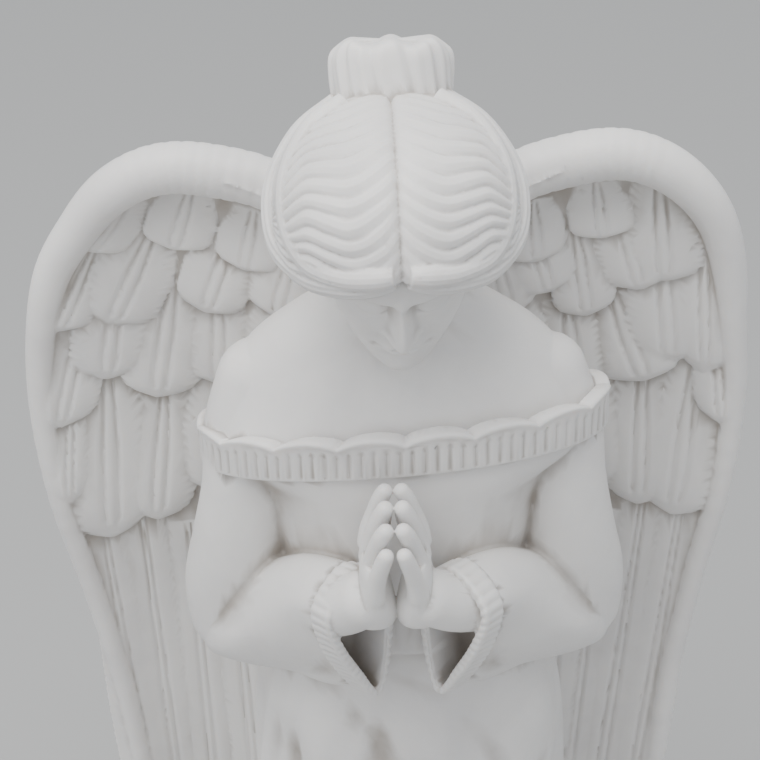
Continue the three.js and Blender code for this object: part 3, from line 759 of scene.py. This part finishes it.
# %% A tree that frills a hoop
def frill_tree():
    tree, start, end = new_tree("Frilled band", [
        ("Scallops", "NodeSocketFloat", 21.0),
        ("Scallop rise", "NodeSocketFloat", 0.005),
        ("Pleats", "NodeSocketFloat", 110.0),
        ("Pleat depth", "NodeSocketFloat", 0.001),
        ("Material", "NodeSocketMaterial", None),
    ])

    def read(name, kind="FLOAT"):
        node = add_node(tree, "GeometryNodeInputNamedAttribute", {"data_type": kind}, Name=name)
        return next(s for s in node.outputs if s.enabled)

    def hills(number, power):
        turn = do_math(tree, "MULTIPLY", do_math(tree, "MULTIPLY", read("round"), math.pi), number)
        return do_math(tree, "POWER", do_math(tree, "ABSOLUTE", do_math(tree, "SINE", turn)), power)

    rise = do_math(tree, "MULTIPLY", hills(start.outputs["Scallops"], 0.6), read("frilled"))
    rise = do_math(tree, "MULTIPLY", rise, start.outputs["Scallop rise"])
    dent = do_math(tree, "SUBTRACT", hills(start.outputs["Pleats"], 0.5), 1.0)
    dent = do_math(tree, "MULTIPLY", dent, read("pleated"))
    dent = do_math(tree, "MULTIPLY", dent, start.outputs["Pleat depth"])
    lift = add_node(tree, "ShaderNodeVectorMath", {"operation": "SCALE"}, i0=read("edge way", "FLOAT_VECTOR"))
    tree.links.new(rise, lift.inputs["Scale"])
    sink = add_node(tree, "ShaderNodeVectorMath", {"operation": "SCALE"}, i0=read("out way", "FLOAT_VECTOR"))
    tree.links.new(dent, sink.inputs["Scale"])
    move = add_node(tree, "ShaderNodeVectorMath", {"operation": "ADD"},
                    i0=lift.outputs[0], i1=sink.outputs[0])
    cut = add_node(tree, "GeometryNodeSetPosition", Geometry=start.outputs["Geometry"],
                   Offset=move.outputs[0])
    real = add_node(tree, "GeometryNodeRealizeInstances", i0=cut.outputs[0])
    stone_set = add_node(tree, "GeometryNodeSetMaterial", Geometry=real.outputs[0],
                         Material=start.outputs["Material"])
    tree.links.new(stone_set.outputs[0], end.inputs[0])
    return tree


def unit(v):
    return v / np.linalg.norm(v, axis=1)[:, None]


def hoop(name, loops, frilled, pleated, edge_way):
    """A closed hoop: loops[k] is the band's section at step k round the hoop.

    frilled and pleated are weights for the points of one section, and edge_way
    is the direction in which the scallops rise, one for each step."""
    loops = np.asarray(loops, float) * MM
    count, around = loops.shape[:2]
    index = np.arange(count * around).reshape(count, around)
    a, b = index, np.roll(index, -1, 0)
    quads = np.stack([a, np.roll(a, -1, 1), np.roll(b, -1, 1), b], -1).reshape(-1, 4)
    points = loops.reshape(-1, 3)
    corners = points[quads]
    if np.einsum("ij,ij->i", corners[:, 0], np.cross(corners[:, 1], corners[:, 2])).sum() < 0:
        quads = quads[:, ::-1]
    obj = mesh_object(name, points, quads.tolist())
    centre = loops.mean(1)
    step = np.linalg.norm(np.roll(centre, -1, 0) - centre, axis=1)
    share = np.concatenate([[0], np.cumsum(step)[:-1]]) / step.sum()
    half = around // 2
    outer = loops[:, :half].mean(1) - loops[:, half:].mean(1)

    def write(label, values):
        kind = "FLOAT" if values.ndim == 1 else "FLOAT_VECTOR"
        layer = obj.data.attributes.new(label, kind, "POINT")
        layer.data.foreach_set("value" if kind == "FLOAT" else "vector", values.ravel())

    write("round", np.repeat(share, around))
    write("frilled", np.tile(frilled, count))
    write("pleated", np.tile(pleated, count))
    write("edge way", np.repeat(unit(edge_way), around, 0))
    write("out way", np.repeat(unit(outer), around, 0))
    return obj


frill_bands = frill_tree()
print("tree:", frill_bands.name, len(frill_bands.nodes), "nodes")

# %% [markdown]
# The shoulder band rises over the bust and drops behind, and slants a little to
# one side. Its upper edge is a thin lip that the scallops lift; the pleats lie
# under the lip.

# %% Shoulder band
BAND = {"left": 118, "right": 121, "front": 64, "back": 57, "square": 2.15, "middle": 701,
        "rise": 23, "drop": 26, "slant": 10, "half": 13, "proud": 1.9, "deep": 6}


def band_point(angle, up, out):
    half_width = np.where(np.cos(angle) < 0, BAND["left"], BAND["right"])
    x, y = oval(angle, half_width, BAND["front"], BAND["back"], BAND["square"])
    grow = 1 + out / np.hypot(x, y)
    swing = BAND["rise"] * np.maximum(0, -np.sin(angle)) - BAND["drop"] * np.maximum(0, np.sin(angle))
    z = BAND["middle"] + BAND["slant"] * np.cos(angle) + swing + up
    return np.stack([x * grow, y * grow, z], -1)


BAND_STEPS = 900
BAND_POINTS = 22


def make_band():
    angle = np.arange(BAND_STEPS) / BAND_STEPS * math.tau
    up = np.concatenate([np.linspace(-1, 1, BAND_POINTS), np.linspace(1, -1, BAND_POINTS)])
    outside = np.arange(2 * BAND_POINTS) < BAND_POINTS
    lip = np.exp(-((up - 0.86) / 0.12) ** 2)
    out = np.where(outside, BAND["proud"] + 0.9 * lip - 1.2 * smooth(np.abs(up), 0.9, 1), -BAND["deep"])
    loops = np.stack([band_point(angle, u * (BAND["half"] - 1), o) for u, o in zip(up, out)], 1)
    frilled = smooth(up, -0.2, 0.95)
    pleated = np.where(outside, smooth(0.62 - up, 0, 0.35) * smooth(up, -1, -0.7), 0.0)
    return hoop("shoulder band", loops, frilled, pleated, np.tile([0.0, 0.0, 1.0], (BAND_STEPS, 1)))


band = run_tree(make_band(), frill_bands,
                {"Scallops": 16.0, "Scallop rise": 5.6 * MM, "Pleats": 86.0,
                 "Pleat depth": 1.7 * MM, "Material": stone}, "shoulder band")
forms["fine"].append(band)
print("shoulder band:", len(band.data.polygons), "faces")

# %% [markdown]
# A cuff is the same kind of hoop, laid on the last stretch of the sleeve. Its
# section runs out to the mouth and back, so it rounds over the sleeve's rim.

# %% Cuffs
CUFF_POINTS = 18


def make_cuff(side):
    outward = np.linspace(CUFF["start"], MOUTH, CUFF_POINTS)
    place = np.concatenate([outward, outward[::-1]])
    outside = np.arange(2 * CUFF_POINTS) < CUFF_POINTS
    near_rim = np.abs(np.tile(np.linspace(-1, 1, CUFF_POINTS), 2))
    roundness = np.where(outside, 1 - 0.6 * smooth(near_rim, 0.8, 1), 1)
    offset = np.where(outside, CUFF["proud"] * roundness, -WALL + 1)
    loops = np.stack([sleeve_ring(p, side, o) for p, o in zip(place, offset)], 1)
    pleated = np.where(outside, smooth(MOUTH - place, 0.02, 0.2), 0.2)
    ahead = sleeve_ring(MOUTH, side, 0) - sleeve_ring(MOUTH - 0.3, side, 0)
    return hoop("cuff", loops, smooth(place, 5.5, MOUTH), pleated, ahead)


for side in (-1, 1):
    cuff = run_tree(make_cuff(side), frill_bands,
                    {"Scallops": 37.0, "Scallop rise": 1.4 * MM, "Pleats": 37.0,
                     "Pleat depth": 1.8 * MM, "Material": stone}, "cuff")
    forms["fine"].append(cuff)
print("bands done, fine forms:", len(forms["fine"]))

# %% [markdown]
# **Wings.** Each wing is a hollowed blade framed by a thick rolled leading edge.
# The blade is a loft from top to tip; the roll is a limb that runs from the
# shoulder over the top and down the outer side. The right wing is a little
# narrower, as hand carving often is, and both draw in slightly at the top.

# %% Blades and rolls
ROLL = [
    [34, 44, 800, 14],
    [68, 57, 829, 15],
    [106, 62, 840, 15.5],
    [138, 62, 842, 15],
    [166, 60, 830, 14],
    [188, 58, 806, 12.5],
    [205, 56, 774, 11],
    [216, 54, 728, 9],
    [221, 53, 672, 8],
    [218, 53, 600, 7.5],
    [206, 55, 520, 7],
    [195, 57, 430, 7],
    [190, 60, 340, 7],
    [184, 64, 250, 6.5],
    [170, 68, 165, 6],
    [152, 70, 104, 5],
]
BLADE = [
    [842, 96, 142, 12],
    [826, 60, 164, 20],
    [800, 34, 187, 24],
    [755, 28, 209, 25],
    [680, 28, 219, 25],
    [590, 34, 216, 24],
    [470, 50, 200, 22],
    [330, 68, 189, 20],
    [190, 90, 175, 17],
    [104, 142, 154, 8],
]
WING = {"root": 42, "dish": 27, "narrow_right": 0.06, "narrow_top": 0.018}


def spread(x, z, side):
    z = np.asarray(z, float)
    below = WING["narrow_right"] * smooth(830 - z, 0, 90) if side > 0 else 0
    narrow = np.maximum(below, WING["narrow_top"] * smooth(z, 760, 800))
    return side * np.asarray(x, float) * (1 - narrow)


def blade_front(z, across):
    """Depth of the hollowed front of the blade, 0 at the root to 1 at the edge."""
    edge = read_rows([[row[2], row[1]] for row in ROLL[3:]], z)[:, 0]
    root = WING["root"] + 6 * smooth(520 - z, 0, 300)
    hollow = np.sin(math.pi * np.clip(across * 1.02, 0, 1))
    return mix(root, edge, across) + WING["dish"] * np.abs(hollow) ** 0.8


def make_blade(side):
    rings = []
    across = np.linspace(0, 1, 90)
    for z in np.linspace(BLADE[0][0], BLADE[-1][0], 300):
        inner, outer, thick = read_rows(BLADE, z)[0]
        x = mix(inner, outer, across)
        y = blade_front(z, across)
        edge = 0.5 + 0.5 * np.sin(math.pi * mix(0.12, 0.88, across))
        quill = 1.5 * np.abs(np.sin(across * 15 + 0.6)) * smooth(700 - z, 0, 160)
        back = y + thick * edge + quill
        height = np.full_like(x, z)
        rings.append(np.vstack([np.stack([spread(x, height, side), y, height], -1),
                                np.stack([spread(x, height, side), back, height], -1)[::-1]]))
    return closed_form("blade", rings, "wings")


def make_roll(side):
    rings = limb_rings([[float(spread(x, z, side)), y, z, r] for x, y, z, r in ROLL], 60, 500)
    middle = rings.mean(1, keepdims=True)
    share = (np.arange(len(rings)) / (len(rings) - 1))[:, None]
    turn = np.arange(60)[None] / 60 * math.tau
    slanted = (0.5 + 0.5 * np.cos(math.tau * (share * 68 + 0.22 * np.sin(turn)))) ** 4
    scallop = (0.5 + 0.5 * np.cos(math.tau * share * 62)) ** 6
    outer = smooth(share, 0.50, 0.58) * smooth(0.92 - share, 0, 0.1)
    top = smooth(share, 0.07, 0.1) * smooth(0.26 - share, 0, 0.03)
    cut = 0.45 * slanted * outer + 0.3 * scallop * top
    return closed_form("roll", middle + (rings - middle) * (1 - cut[..., None] / 9), "wings")


for side in (-1, 1):
    make_blade(side)
    make_roll(side)
print("blades and rolls:", [len(o.data.polygons) for o in forms["wings"]], "faces")

# %% [markdown]
# **Feathers.** Broad, round-ended leaves lie over each other like roof tiles.
# Each has a raised shaft between two grooves and short notches for its barbs.
# A carver cuts them all the same way, so one master feather is instanced on a
# point at each root. The same tree then lays every feather on the hollow of the
# wing, by casting each of its points onto the blade's front.

# %% Two master feathers
def master_feather(name, barbs, shaft, slant, lift_root, lift_tip):
    """A closed leaf: x across -1 to 1, z 0 to -1 along, y its real height in mm."""
    rings = []
    across = np.linspace(-1, 1, 61)
    tip = 0.9 + 0.1 * np.sin(np.linspace(0, math.pi / 2, 24)[1:])
    for t in np.concatenate([np.linspace(0, 0.9, 150), tip]):
        wide = mix(0.62, 1.0, float(smooth(t, 0, 0.5)))
        wide *= math.sqrt(max(0.0012, 1 - max(0.0, (t - 0.72) / 0.281) ** 2.2))
        notch = (0.5 + 0.5 * np.cos(math.tau * (t * barbs + np.abs(across) * slant))) ** 3
        a = np.abs(across)
        height = mix(lift_root, lift_tip, float(smooth(t, 0, 0.85))) * (1 - 0.5 * a**2.4)
        height *= 1 - 0.35 * float(smooth(t, 0.88, 1))
        groove = np.exp(-((a - shaft) / 0.075) ** 2)
        height = height - 1.7 * groove * float(smooth(0.97 - t, 0, 0.12))
        height = height - 0.7 * notch * smooth(a, 0.5, 0.95)
        rim = 1 - 0.045 * notch * smooth(a, 0.8, 1)
        x = across * wide * rim
        top = np.stack([x, -height, np.full_like(x, -t)], -1)
        under = np.stack([x[::-12] * 0.96, np.full(6, 5.0), np.full(6, -t)], -1)
        rings.append(np.vstack([top, under]))
    return closed_form(name, rings, group=None)


covert = master_feather("covert", 15, 0.17, 2.2, 1.2, 8.2)
primary = master_feather("primary", 58, 0.13, 5.0, 1.2, 7.0)
print("master feathers:", len(covert.data.polygons), "faces each")

# %% A tree that lays feathers on a wing
def feather_tree():
    tree, start, end = new_tree("Feathers on a wing", [
        ("Master", "NodeSocketObject", None),
        ("Ground", "NodeSocketObject", None),
        ("Size scale", "NodeSocketFloat", 1.0),
        ("Seed", "NodeSocketInt", 7),
        ("Material", "NodeSocketMaterial", None),
    ])

    def read(name):
        node = add_node(tree, "GeometryNodeInputNamedAttribute", {"data_type": "FLOAT_VECTOR"}, Name=name)
        return next(s for s in node.outputs if s.enabled)

    master = add_node(tree, "GeometryNodeObjectInfo", {"transform_space": "ORIGINAL"},
                      Object=start.outputs["Master"])
    ground = add_node(tree, "GeometryNodeObjectInfo", {"transform_space": "ORIGINAL"},
                      Object=start.outputs["Ground"])
    chance = add_node(tree, "FunctionNodeRandomValue", {"data_type": "FLOAT_VECTOR"})
    chance.inputs[0].default_value = (-0.03, -0.035, -0.03)
    chance.inputs[1].default_value = (0.03, 0.035, 0.03)
    tree.links.new(start.outputs["Seed"], next(s for s in chance.inputs if s.name == "Seed"))
    turn = add_node(tree, "ShaderNodeVectorMath", {"operation": "MULTIPLY_ADD"},
                    i0=chance.outputs[0], i1=(0.0, 1.0, 0.0))
    tree.links.new(read("turn"), turn.inputs[2])
    rotation = add_node(tree, "FunctionNodeEulerToRotation", i0=turn.outputs[0])
    size = add_node(tree, "ShaderNodeVectorMath", {"operation": "SCALE"}, i0=read("size"))
    tree.links.new(start.outputs["Size scale"], size.inputs["Scale"])
    lay = add_node(tree, "GeometryNodeInstanceOnPoints", Points=start.outputs["Geometry"],
                   Instance=master.outputs["Geometry"], Rotation=rotation.outputs[0],
                   Scale=size.outputs[0])
    real = add_node(tree, "GeometryNodeRealizeInstances", i0=lay.outputs[0])
    place = add_node(tree, "GeometryNodeInputPosition").outputs[0]
    parts = add_node(tree, "ShaderNodeSeparateXYZ", i0=place)
    source = add_node(tree, "ShaderNodeCombineXYZ", i0=parts.outputs[0], i1=-0.5, i2=parts.outputs[2])
    cast = add_node(tree, "GeometryNodeRaycast", {"data_type": "FLOAT"})
    tree.links.new(ground.outputs["Geometry"], cast.inputs["Target Geometry"])
    tree.links.new(source.outputs[0], cast.inputs["Source Position"])
    cast.inputs["Ray Direction"].default_value = (0.0, 1.0, 0.0)
    cast.inputs["Ray Length"].default_value = 2.0
    hit = add_node(tree, "ShaderNodeSeparateXYZ", i0=cast.outputs["Hit Position"])
    depth = do_math(tree, "ADD", hit.outputs[1], parts.outputs[1])
    laid = add_node(tree, "ShaderNodeCombineXYZ", i0=parts.outputs[0], i1=depth, i2=parts.outputs[2])
    put = add_node(tree, "GeometryNodeSetPosition", Geometry=real.outputs[0], Position=laid.outputs[0])
    tree.links.new(cast.outputs["Is Hit"], put.inputs["Selection"])
    stone_set = add_node(tree, "GeometryNodeSetMaterial", Geometry=put.outputs[0],
                         Material=start.outputs["Material"])
    tree.links.new(stone_set.outputs[0], end.inputs[0])
    return tree


lay_feathers = feather_tree()
print("tree:", lay_feathers.name, len(lay_feathers.nodes), "nodes")

# %% [markdown]
# The table gives each feather from root to tip and its width. Rows run from the
# small ones under the roll to the long primaries that reach the wing's tip.

# %% Feathers of both wings
COVERTS_LEFT = [
    (156, 820, 182, 789, 38), (121, 819, 132, 779, 42), (84, 806, 90, 766, 38),
    (181, 786, 204, 735, 38), (145, 793, 173, 730, 50), (98, 788, 115, 733, 44), (62, 780, 74, 735, 40),
    (166, 770, 180, 690, 48),
    (191, 736, 210, 662, 41), (135, 754, 151, 670, 52), (108, 745, 112, 679, 45), (70, 742, 80, 680, 46),
    (203, 690, 209, 600, 26), (180, 694, 189, 562, 54), (146, 676, 160, 569, 47),
    (112, 684, 124, 590, 46), (76, 690, 86, 610, 48), (50, 700, 52, 620, 40),
]
COVERTS_RIGHT = [
    (158, 822, 172, 750, 46), (122, 814, 130, 778, 38), (84, 806, 90, 766, 36),
    (187, 790, 201, 686, 34), (136, 800, 158, 742, 42), (112, 783, 126, 722, 40), (86, 783, 98, 742, 38),
    (168, 770, 178, 690, 48),
    (62, 775, 74, 730, 38),
    (206, 726, 213, 650, 30), (141, 735, 163, 672, 54), (110, 735, 118, 665, 46), (72, 738, 82, 680, 46),
    (196, 690, 187, 566, 48), (163, 684, 163, 570, 46), (126, 676, 132, 585, 46),
    (92, 684, 98, 600, 46), (56, 690, 60, 615, 44),
]
PRIMARIES = [
    (196, 600, 171, 150, 38), (170, 585, 151, 116, 42), (141, 560, 129, 165, 42),
    (114, 560, 108, 215, 44), (86, 560, 90, 268, 44), (58, 560, 74, 325, 42),
]


def wing_ground(side):
    """A surface a little wider than the blade, for the feathers to lie on."""
    z = np.linspace(860, 90, 260)
    x = np.linspace(10, 240, 120)
    points = []
    for height in z:
        inner, outer, _ = read_rows(BLADE, height)[0]
        across = np.clip((x - inner) / (outer - inner), 0, 1)
        points.append(np.stack([spread(x, np.full_like(x, height), side), blade_front(height, across),
                                np.full_like(x, height)], -1))
    points = np.concatenate(points) * MM
    index = np.arange(len(z) * len(x)).reshape(len(z), len(x))
    faces = np.stack([index[:-1, :-1], index[:-1, 1:], index[1:, 1:], index[1:, :-1]], -1)
    return mesh_object("wing ground", points, faces.reshape(-1, 4).tolist())


def feather_points(rows, side):
    rows = np.asarray(rows, float)
    root = np.stack([spread(rows[:, 0], rows[:, 1], side), np.zeros(len(rows)), rows[:, 1]], -1)
    tip = np.stack([spread(rows[:, 2], rows[:, 3], side), np.zeros(len(rows)), rows[:, 3]], -1)
    along = tip - root
    length = np.linalg.norm(along, axis=1)
    lean = np.arctan2(along[:, 0], -along[:, 2])
    obj = mesh_object("feather points", root * MM, [])
    turn = np.stack([np.zeros_like(lean), -lean, np.zeros_like(lean)], -1)
    size = np.stack([rows[:, 4] / 2, np.ones_like(lean), length], -1)
    for label, values in (("turn", turn), ("size", size)):
        layer = obj.data.attributes.new(label, "FLOAT_VECTOR", "POINT")
        layer.data.foreach_set("vector", values.ravel())
    return obj


for side, coverts in ((-1, COVERTS_LEFT), (1, COVERTS_RIGHT)):
    ground = wing_ground(side)
    for master, rows, seed in ((covert, coverts, 7), (primary, PRIMARIES, 11)):
        laid = run_tree(feather_points(rows, side), lay_feathers,
                        {"Master": master, "Ground": ground, "Seed": seed, "Material": stone},
                        "feathers")
        forms["wings"].append(laid)
        print("feathers:", side, len(rows), "with", len(laid.data.polygons), "faces")
    bpy.data.objects.remove(ground)
for master in (covert, primary):
    bpy.data.objects.remove(master)

# %% [markdown]
# **One stone.** The real angel has no joints, so all the forms become one skin.
# A voxel grid gives the union of each region, finer where the carving is finer;
# each skin is then thinned where it is plain, and the regions are joined by a
# boolean union into one closed stone.

# %% One skin for each region
def join_forms(name, objects):
    gather = bmesh.new()
    for obj in objects:
        gather.from_mesh(obj.data)
        bpy.data.objects.remove(obj)
    mesh = bpy.data.meshes.new(name)
    gather.to_mesh(mesh)
    gather.free()
    obj = bpy.data.objects.new(name, mesh)
    bpy.context.scene.collection.objects.link(obj)
    return obj


def apply_modifier(obj, name, kind, settings):
    """Run one modifier and keep the plain mesh it makes."""
    modifier = obj.modifiers.new(name, kind)
    for key, value in settings.items():
        setattr(modifier, key, value)
    made = obj.evaluated_get(bpy.context.evaluated_depsgraph_get())
    mesh = bpy.data.meshes.new_from_object(made)
    obj.modifiers.clear()
    old = obj.data
    obj.data = mesh
    bpy.data.meshes.remove(old)


def triangle_count(obj):
    return sum(len(polygon.vertices) - 2 for polygon in obj.data.polygons)


REGIONS = {"body": (1.4, 36000), "wings": (0.9, 68000), "head": (0.6, 54000), "fine": (0.6, 38000)}


def make_skin(name):
    voxel, budget = REGIONS[name]
    skin = join_forms(name, forms[name])
    apply_modifier(skin, "one skin", "REMESH", {"mode": "VOXEL", "voxel_size": voxel * MM})
    full = 2 * len(skin.data.polygons)
    apply_modifier(skin, "soften", "SMOOTH", {"factor": 0.5, "iterations": 1})
    apply_modifier(skin, "thin out", "DECIMATE", {"ratio": min(1.0, budget / full)})
    print(name, "skin:", full, "triangles thinned to", triangle_count(skin))
    return skin


skins = {name: make_skin(name) for name in REGIONS}

# %% [markdown]
# The union keeps only the outside, so no face is left buried in the stone.

# %% Join the regions
angel = skins["body"]
for name in ("wings", "head", "fine"):
    apply_modifier(angel, "union", "BOOLEAN",
                   {"operation": "UNION", "solver": "MANIFOLD", "object": skins[name]})
    bpy.data.objects.remove(skins[name])
    print("with the", name + ":", triangle_count(angel), "triangles")
angel.name = "angel_carving"
angel.data.name = "angel_carving"

# %% [markdown]
# Grime and painted shade both go where the skin is hollow: the crevices are
# darkened for the dirt they hold and for the shade that falls in them. How hollow
# each point is comes from its neighbours: the skin is smoothed over several
# widths, and a point that lies below the smoothed skin is in a crevice.

# %% Hollows that hold grime and painted shade
def hollow_depth(obj, rounds):
    mesh = obj.data
    count = len(mesh.vertices)
    place = np.empty(count * 3)
    mesh.vertices.foreach_get("co", place)
    place = place.reshape(-1, 3)
    normal = np.empty(count * 3)
    mesh.vertices.foreach_get("normal", normal)
    normal = normal.reshape(-1, 3)
    edges = np.empty(len(mesh.edges) * 2, int)
    mesh.edges.foreach_get("vertices", edges)
    edges = edges.reshape(-1, 2)
    links = np.bincount(edges.ravel(), minlength=count)[:, None]
    depth = np.zeros(count)
    soft = place.copy()
    done = 0
    for steps, weight in rounds:
        for _ in range(steps - done):
            total = np.zeros_like(soft)
            for axis in range(3):
                total[:, axis] = (np.bincount(edges[:, 0], soft[edges[:, 1], axis], count)
                                  + np.bincount(edges[:, 1], soft[edges[:, 0], axis], count))
            soft = 0.4 * soft + 0.6 * total / links
        done = steps
        below = np.einsum("ij,ij->i", soft - place, normal) / MM
        depth += weight * np.clip(below, 0, 3)
    return depth, place


depth, place = hollow_depth(angel, [(4, 1.0), (14, 0.5), (40, 0.25)])
# This mask darkens every hollow: partly real grime, partly painted shade where shade falls in the crevices.
dust_and_painted_shade = np.clip((depth - 0.2) / 1.5, 0, 1)
layer = angel.data.attributes.new("dust_and_painted_shade", "FLOAT", "POINT")
layer.data.foreach_set("value", dust_and_painted_shade)
print("dust: mean", round(float(dust_and_painted_shade.mean()), 3), "share over half", round(float((dust_and_painted_shade > 0.5).mean()), 3))

# %% [markdown]
# ** Marble.** White, slightly warm, and a little translucent: light enters and
# leaves nearby, which softens the shadows in the folds. The surface is honed,
# not polished. Faint veins, a fine sugary grain, and a dark brown in the
# crevices that is partly grime and partly painted shade keep it from looking
# like plaster.

# %% Marble
def shader_node(tree, kind, settings=None, inputs=None):
    node = tree.nodes.new(kind)
    for key, value in (settings or {}).items():
        setattr(node, key, value)
    for key, value in (inputs or {}).items():
        if isinstance(value, bpy.types.NodeSocket):
            tree.links.new(value, node.inputs[key])
        else:
            node.inputs[key].default_value = value
    return node


def make_marble(material):
    material.use_nodes = True
    tree = material.node_tree
    tree.nodes.clear()
    output = shader_node(tree, "ShaderNodeOutputMaterial")
    where = shader_node(tree, "ShaderNodeTexCoord").outputs["Object"]
    warp = shader_node(tree, "ShaderNodeTexNoise", inputs={"Vector": where, "Scale": 6.0, "Detail": 4.0})
    bent = shader_node(tree, "ShaderNodeMix", {"data_type": "VECTOR"}, {"Factor": 0.12})
    tree.links.new(where, bent.inputs[4])
    tree.links.new(warp.outputs["Color"], bent.inputs[5])
    veins = shader_node(tree, "ShaderNodeTexNoise", inputs={"Vector": bent.outputs[1], "Scale": 9.0,
                                                            "Detail": 5.0, "Roughness": 0.6})
    vein = shader_node(tree, "ShaderNodeValToRGB", inputs={"Fac": veins.outputs["Fac"]})
    vein.color_ramp.elements[0].position = 0.35
    vein.color_ramp.elements[0].color = (0.70, 0.685, 0.675, 1)
    vein.color_ramp.elements[1].position = 0.62
    vein.color_ramp.elements[1].color = (0.80, 0.785, 0.765, 1)
    grain = shader_node(tree, "ShaderNodeTexNoise", inputs={"Vector": where, "Scale": 420.0, "Detail": 3.0})
    patch = shader_node(tree, "ShaderNodeTexNoise", inputs={"Vector": where, "Scale": 28.0, "Detail": 4.0})
    shade_and_grime_mask = shader_node(tree, "ShaderNodeAttribute", {"attribute_name": "dust_and_painted_shade"})
    uneven = shader_node(tree, "ShaderNodeMapRange", inputs={"Value": patch.outputs["Fac"], "From Min": 0.3,
                                                             "From Max": 0.7, "To Min": 0.45, "To Max": 1.0})
    shade_and_grime_mix = shader_node(tree, "ShaderNodeMath", {"operation": "MULTIPLY"})
    tree.links.new(shade_and_grime_mask.outputs["Fac"], shade_and_grime_mix.inputs[0])
    tree.links.new(uneven.outputs["Result"], shade_and_grime_mix.inputs[1])
    colour = shader_node(tree, "ShaderNodeMix", {"data_type": "RGBA"})
    tree.links.new(shade_and_grime_mix.outputs[0], colour.inputs[0])
    tree.links.new(vein.outputs["Color"], colour.inputs[6])
    # Dark brown for the hollows: real grime and painted shade in the crevices.
    colour.inputs[7].default_value = (0.34, 0.30, 0.26, 1)
    rough = shader_node(tree, "ShaderNodeMapRange", inputs={"Value": grain.outputs["Fac"], "From Min": 0.3,
                                                            "From Max": 0.7, "To Min": 0.40, "To Max": 0.56})
    bump = shader_node(tree, "ShaderNodeBump", inputs={"Strength": 0.12, "Distance": 0.0006,
                                                       "Height": grain.outputs["Fac"]})
    stone_look = shader_node(tree, "ShaderNodeBsdfPrincipled", inputs={
        "Base Color": colour.outputs[2], "Roughness": rough.outputs["Result"],
        "Normal": bump.outputs["Normal"], "Subsurface Weight": 0.35,
        "Subsurface Radius": (1.0, 0.85, 0.7), "Subsurface Scale": 0.006, "Specular IOR Level": 0.45})
    tree.links.new(stone_look.outputs[0], output.inputs[0])


make_marble(stone)
angel.data.materials.clear()
angel.data.materials.append(stone)
angel.data.polygons.foreach_set("use_smooth", [True] * len(angel.data.polygons))
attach(angel, "root")
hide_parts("angel")
print("dressed:", angel.name)

# %% [markdown]
# **Studio.** A pale floor, a wide soft light from above and in front, as on an
# overcast day, and a camera high in front that looks down on the bowed head.

# %% Floor, light and camera
def pale_material():
    material = bpy.data.materials.new("pale floor")
    material.use_nodes = True
    shader = material.node_tree.nodes["Principled BSDF"]
    shader.inputs["Base Color"].default_value = (0.42, 0.42, 0.415, 1)
    shader.inputs["Roughness"].default_value = 0.9
    return material


FLOOR_HALF = 6.0
corners = np.array([[-1, -1, 0], [1, -1, 0], [1, 1, 0], [-1, 1, 0]]) * FLOOR_HALF
floor = mesh_object("floor", corners, [[0, 1, 2, 3]])
floor.data.materials.append(pale_material())
world = bpy.data.worlds.new("studio")
bpy.context.scene.world = world
world.use_nodes = True
world.node_tree.nodes["Background"].inputs["Color"].default_value = (0.93, 0.96, 1.0, 1)
world.node_tree.nodes["Background"].inputs["Strength"].default_value = 0.95


def soft_light(name, place, aim, size, power, colour):
    lamp = bpy.data.lights.new(name, "AREA")
    lamp.size = size
    lamp.energy = power
    lamp.color = colour
    obj = bpy.data.objects.new(name, lamp)
    obj.location = place
    obj.rotation_euler = (Vector(aim) - Vector(place)).to_track_quat("-Z", "Y").to_euler()
    bpy.context.scene.collection.objects.link(obj)
    return obj


soft_light("sky", (-0.35, -0.35, 2.9), (0, 0, 0.6), 1.8, 62, (1.0, 0.985, 0.96))
soft_light("fill", (-1.8, -1.2, 1.5), (0, 0, 0.6), 1.4, 9, (1.0, 0.98, 0.95))

TALL = high.z - low.z
EYE = Vector((-0.0119, -1.046, 1.587)) * TALL
AHEAD = Vector((0, 0.788, -0.6157)).normalized()
ROLL_ANGLE = math.radians(1.8)
LENS_MM = 102.3
RIGHT = Vector((1, 0, 0))
ABOVE = RIGHT.cross(AHEAD)
ACROSS = RIGHT * math.cos(ROLL_ANGLE) - ABOVE * math.sin(ROLL_ANGLE)
UPWARD = RIGHT * math.sin(ROLL_ANGLE) + ABOVE * math.cos(ROLL_ANGLE)
camera = bpy.data.objects.new("camera", bpy.data.cameras.new("camera"))
camera.data.sensor_width = 36
camera.data.lens = LENS_MM
camera.matrix_world = Matrix.Translation(EYE) @ Matrix((ACROSS, UPWARD, -AHEAD)).transposed().to_4x4()
bpy.context.scene.collection.objects.link(camera)
bpy.context.scene.camera = camera
print(f"camera {EYE.z:.2f} m up, {-EYE.y:.2f} m in front")
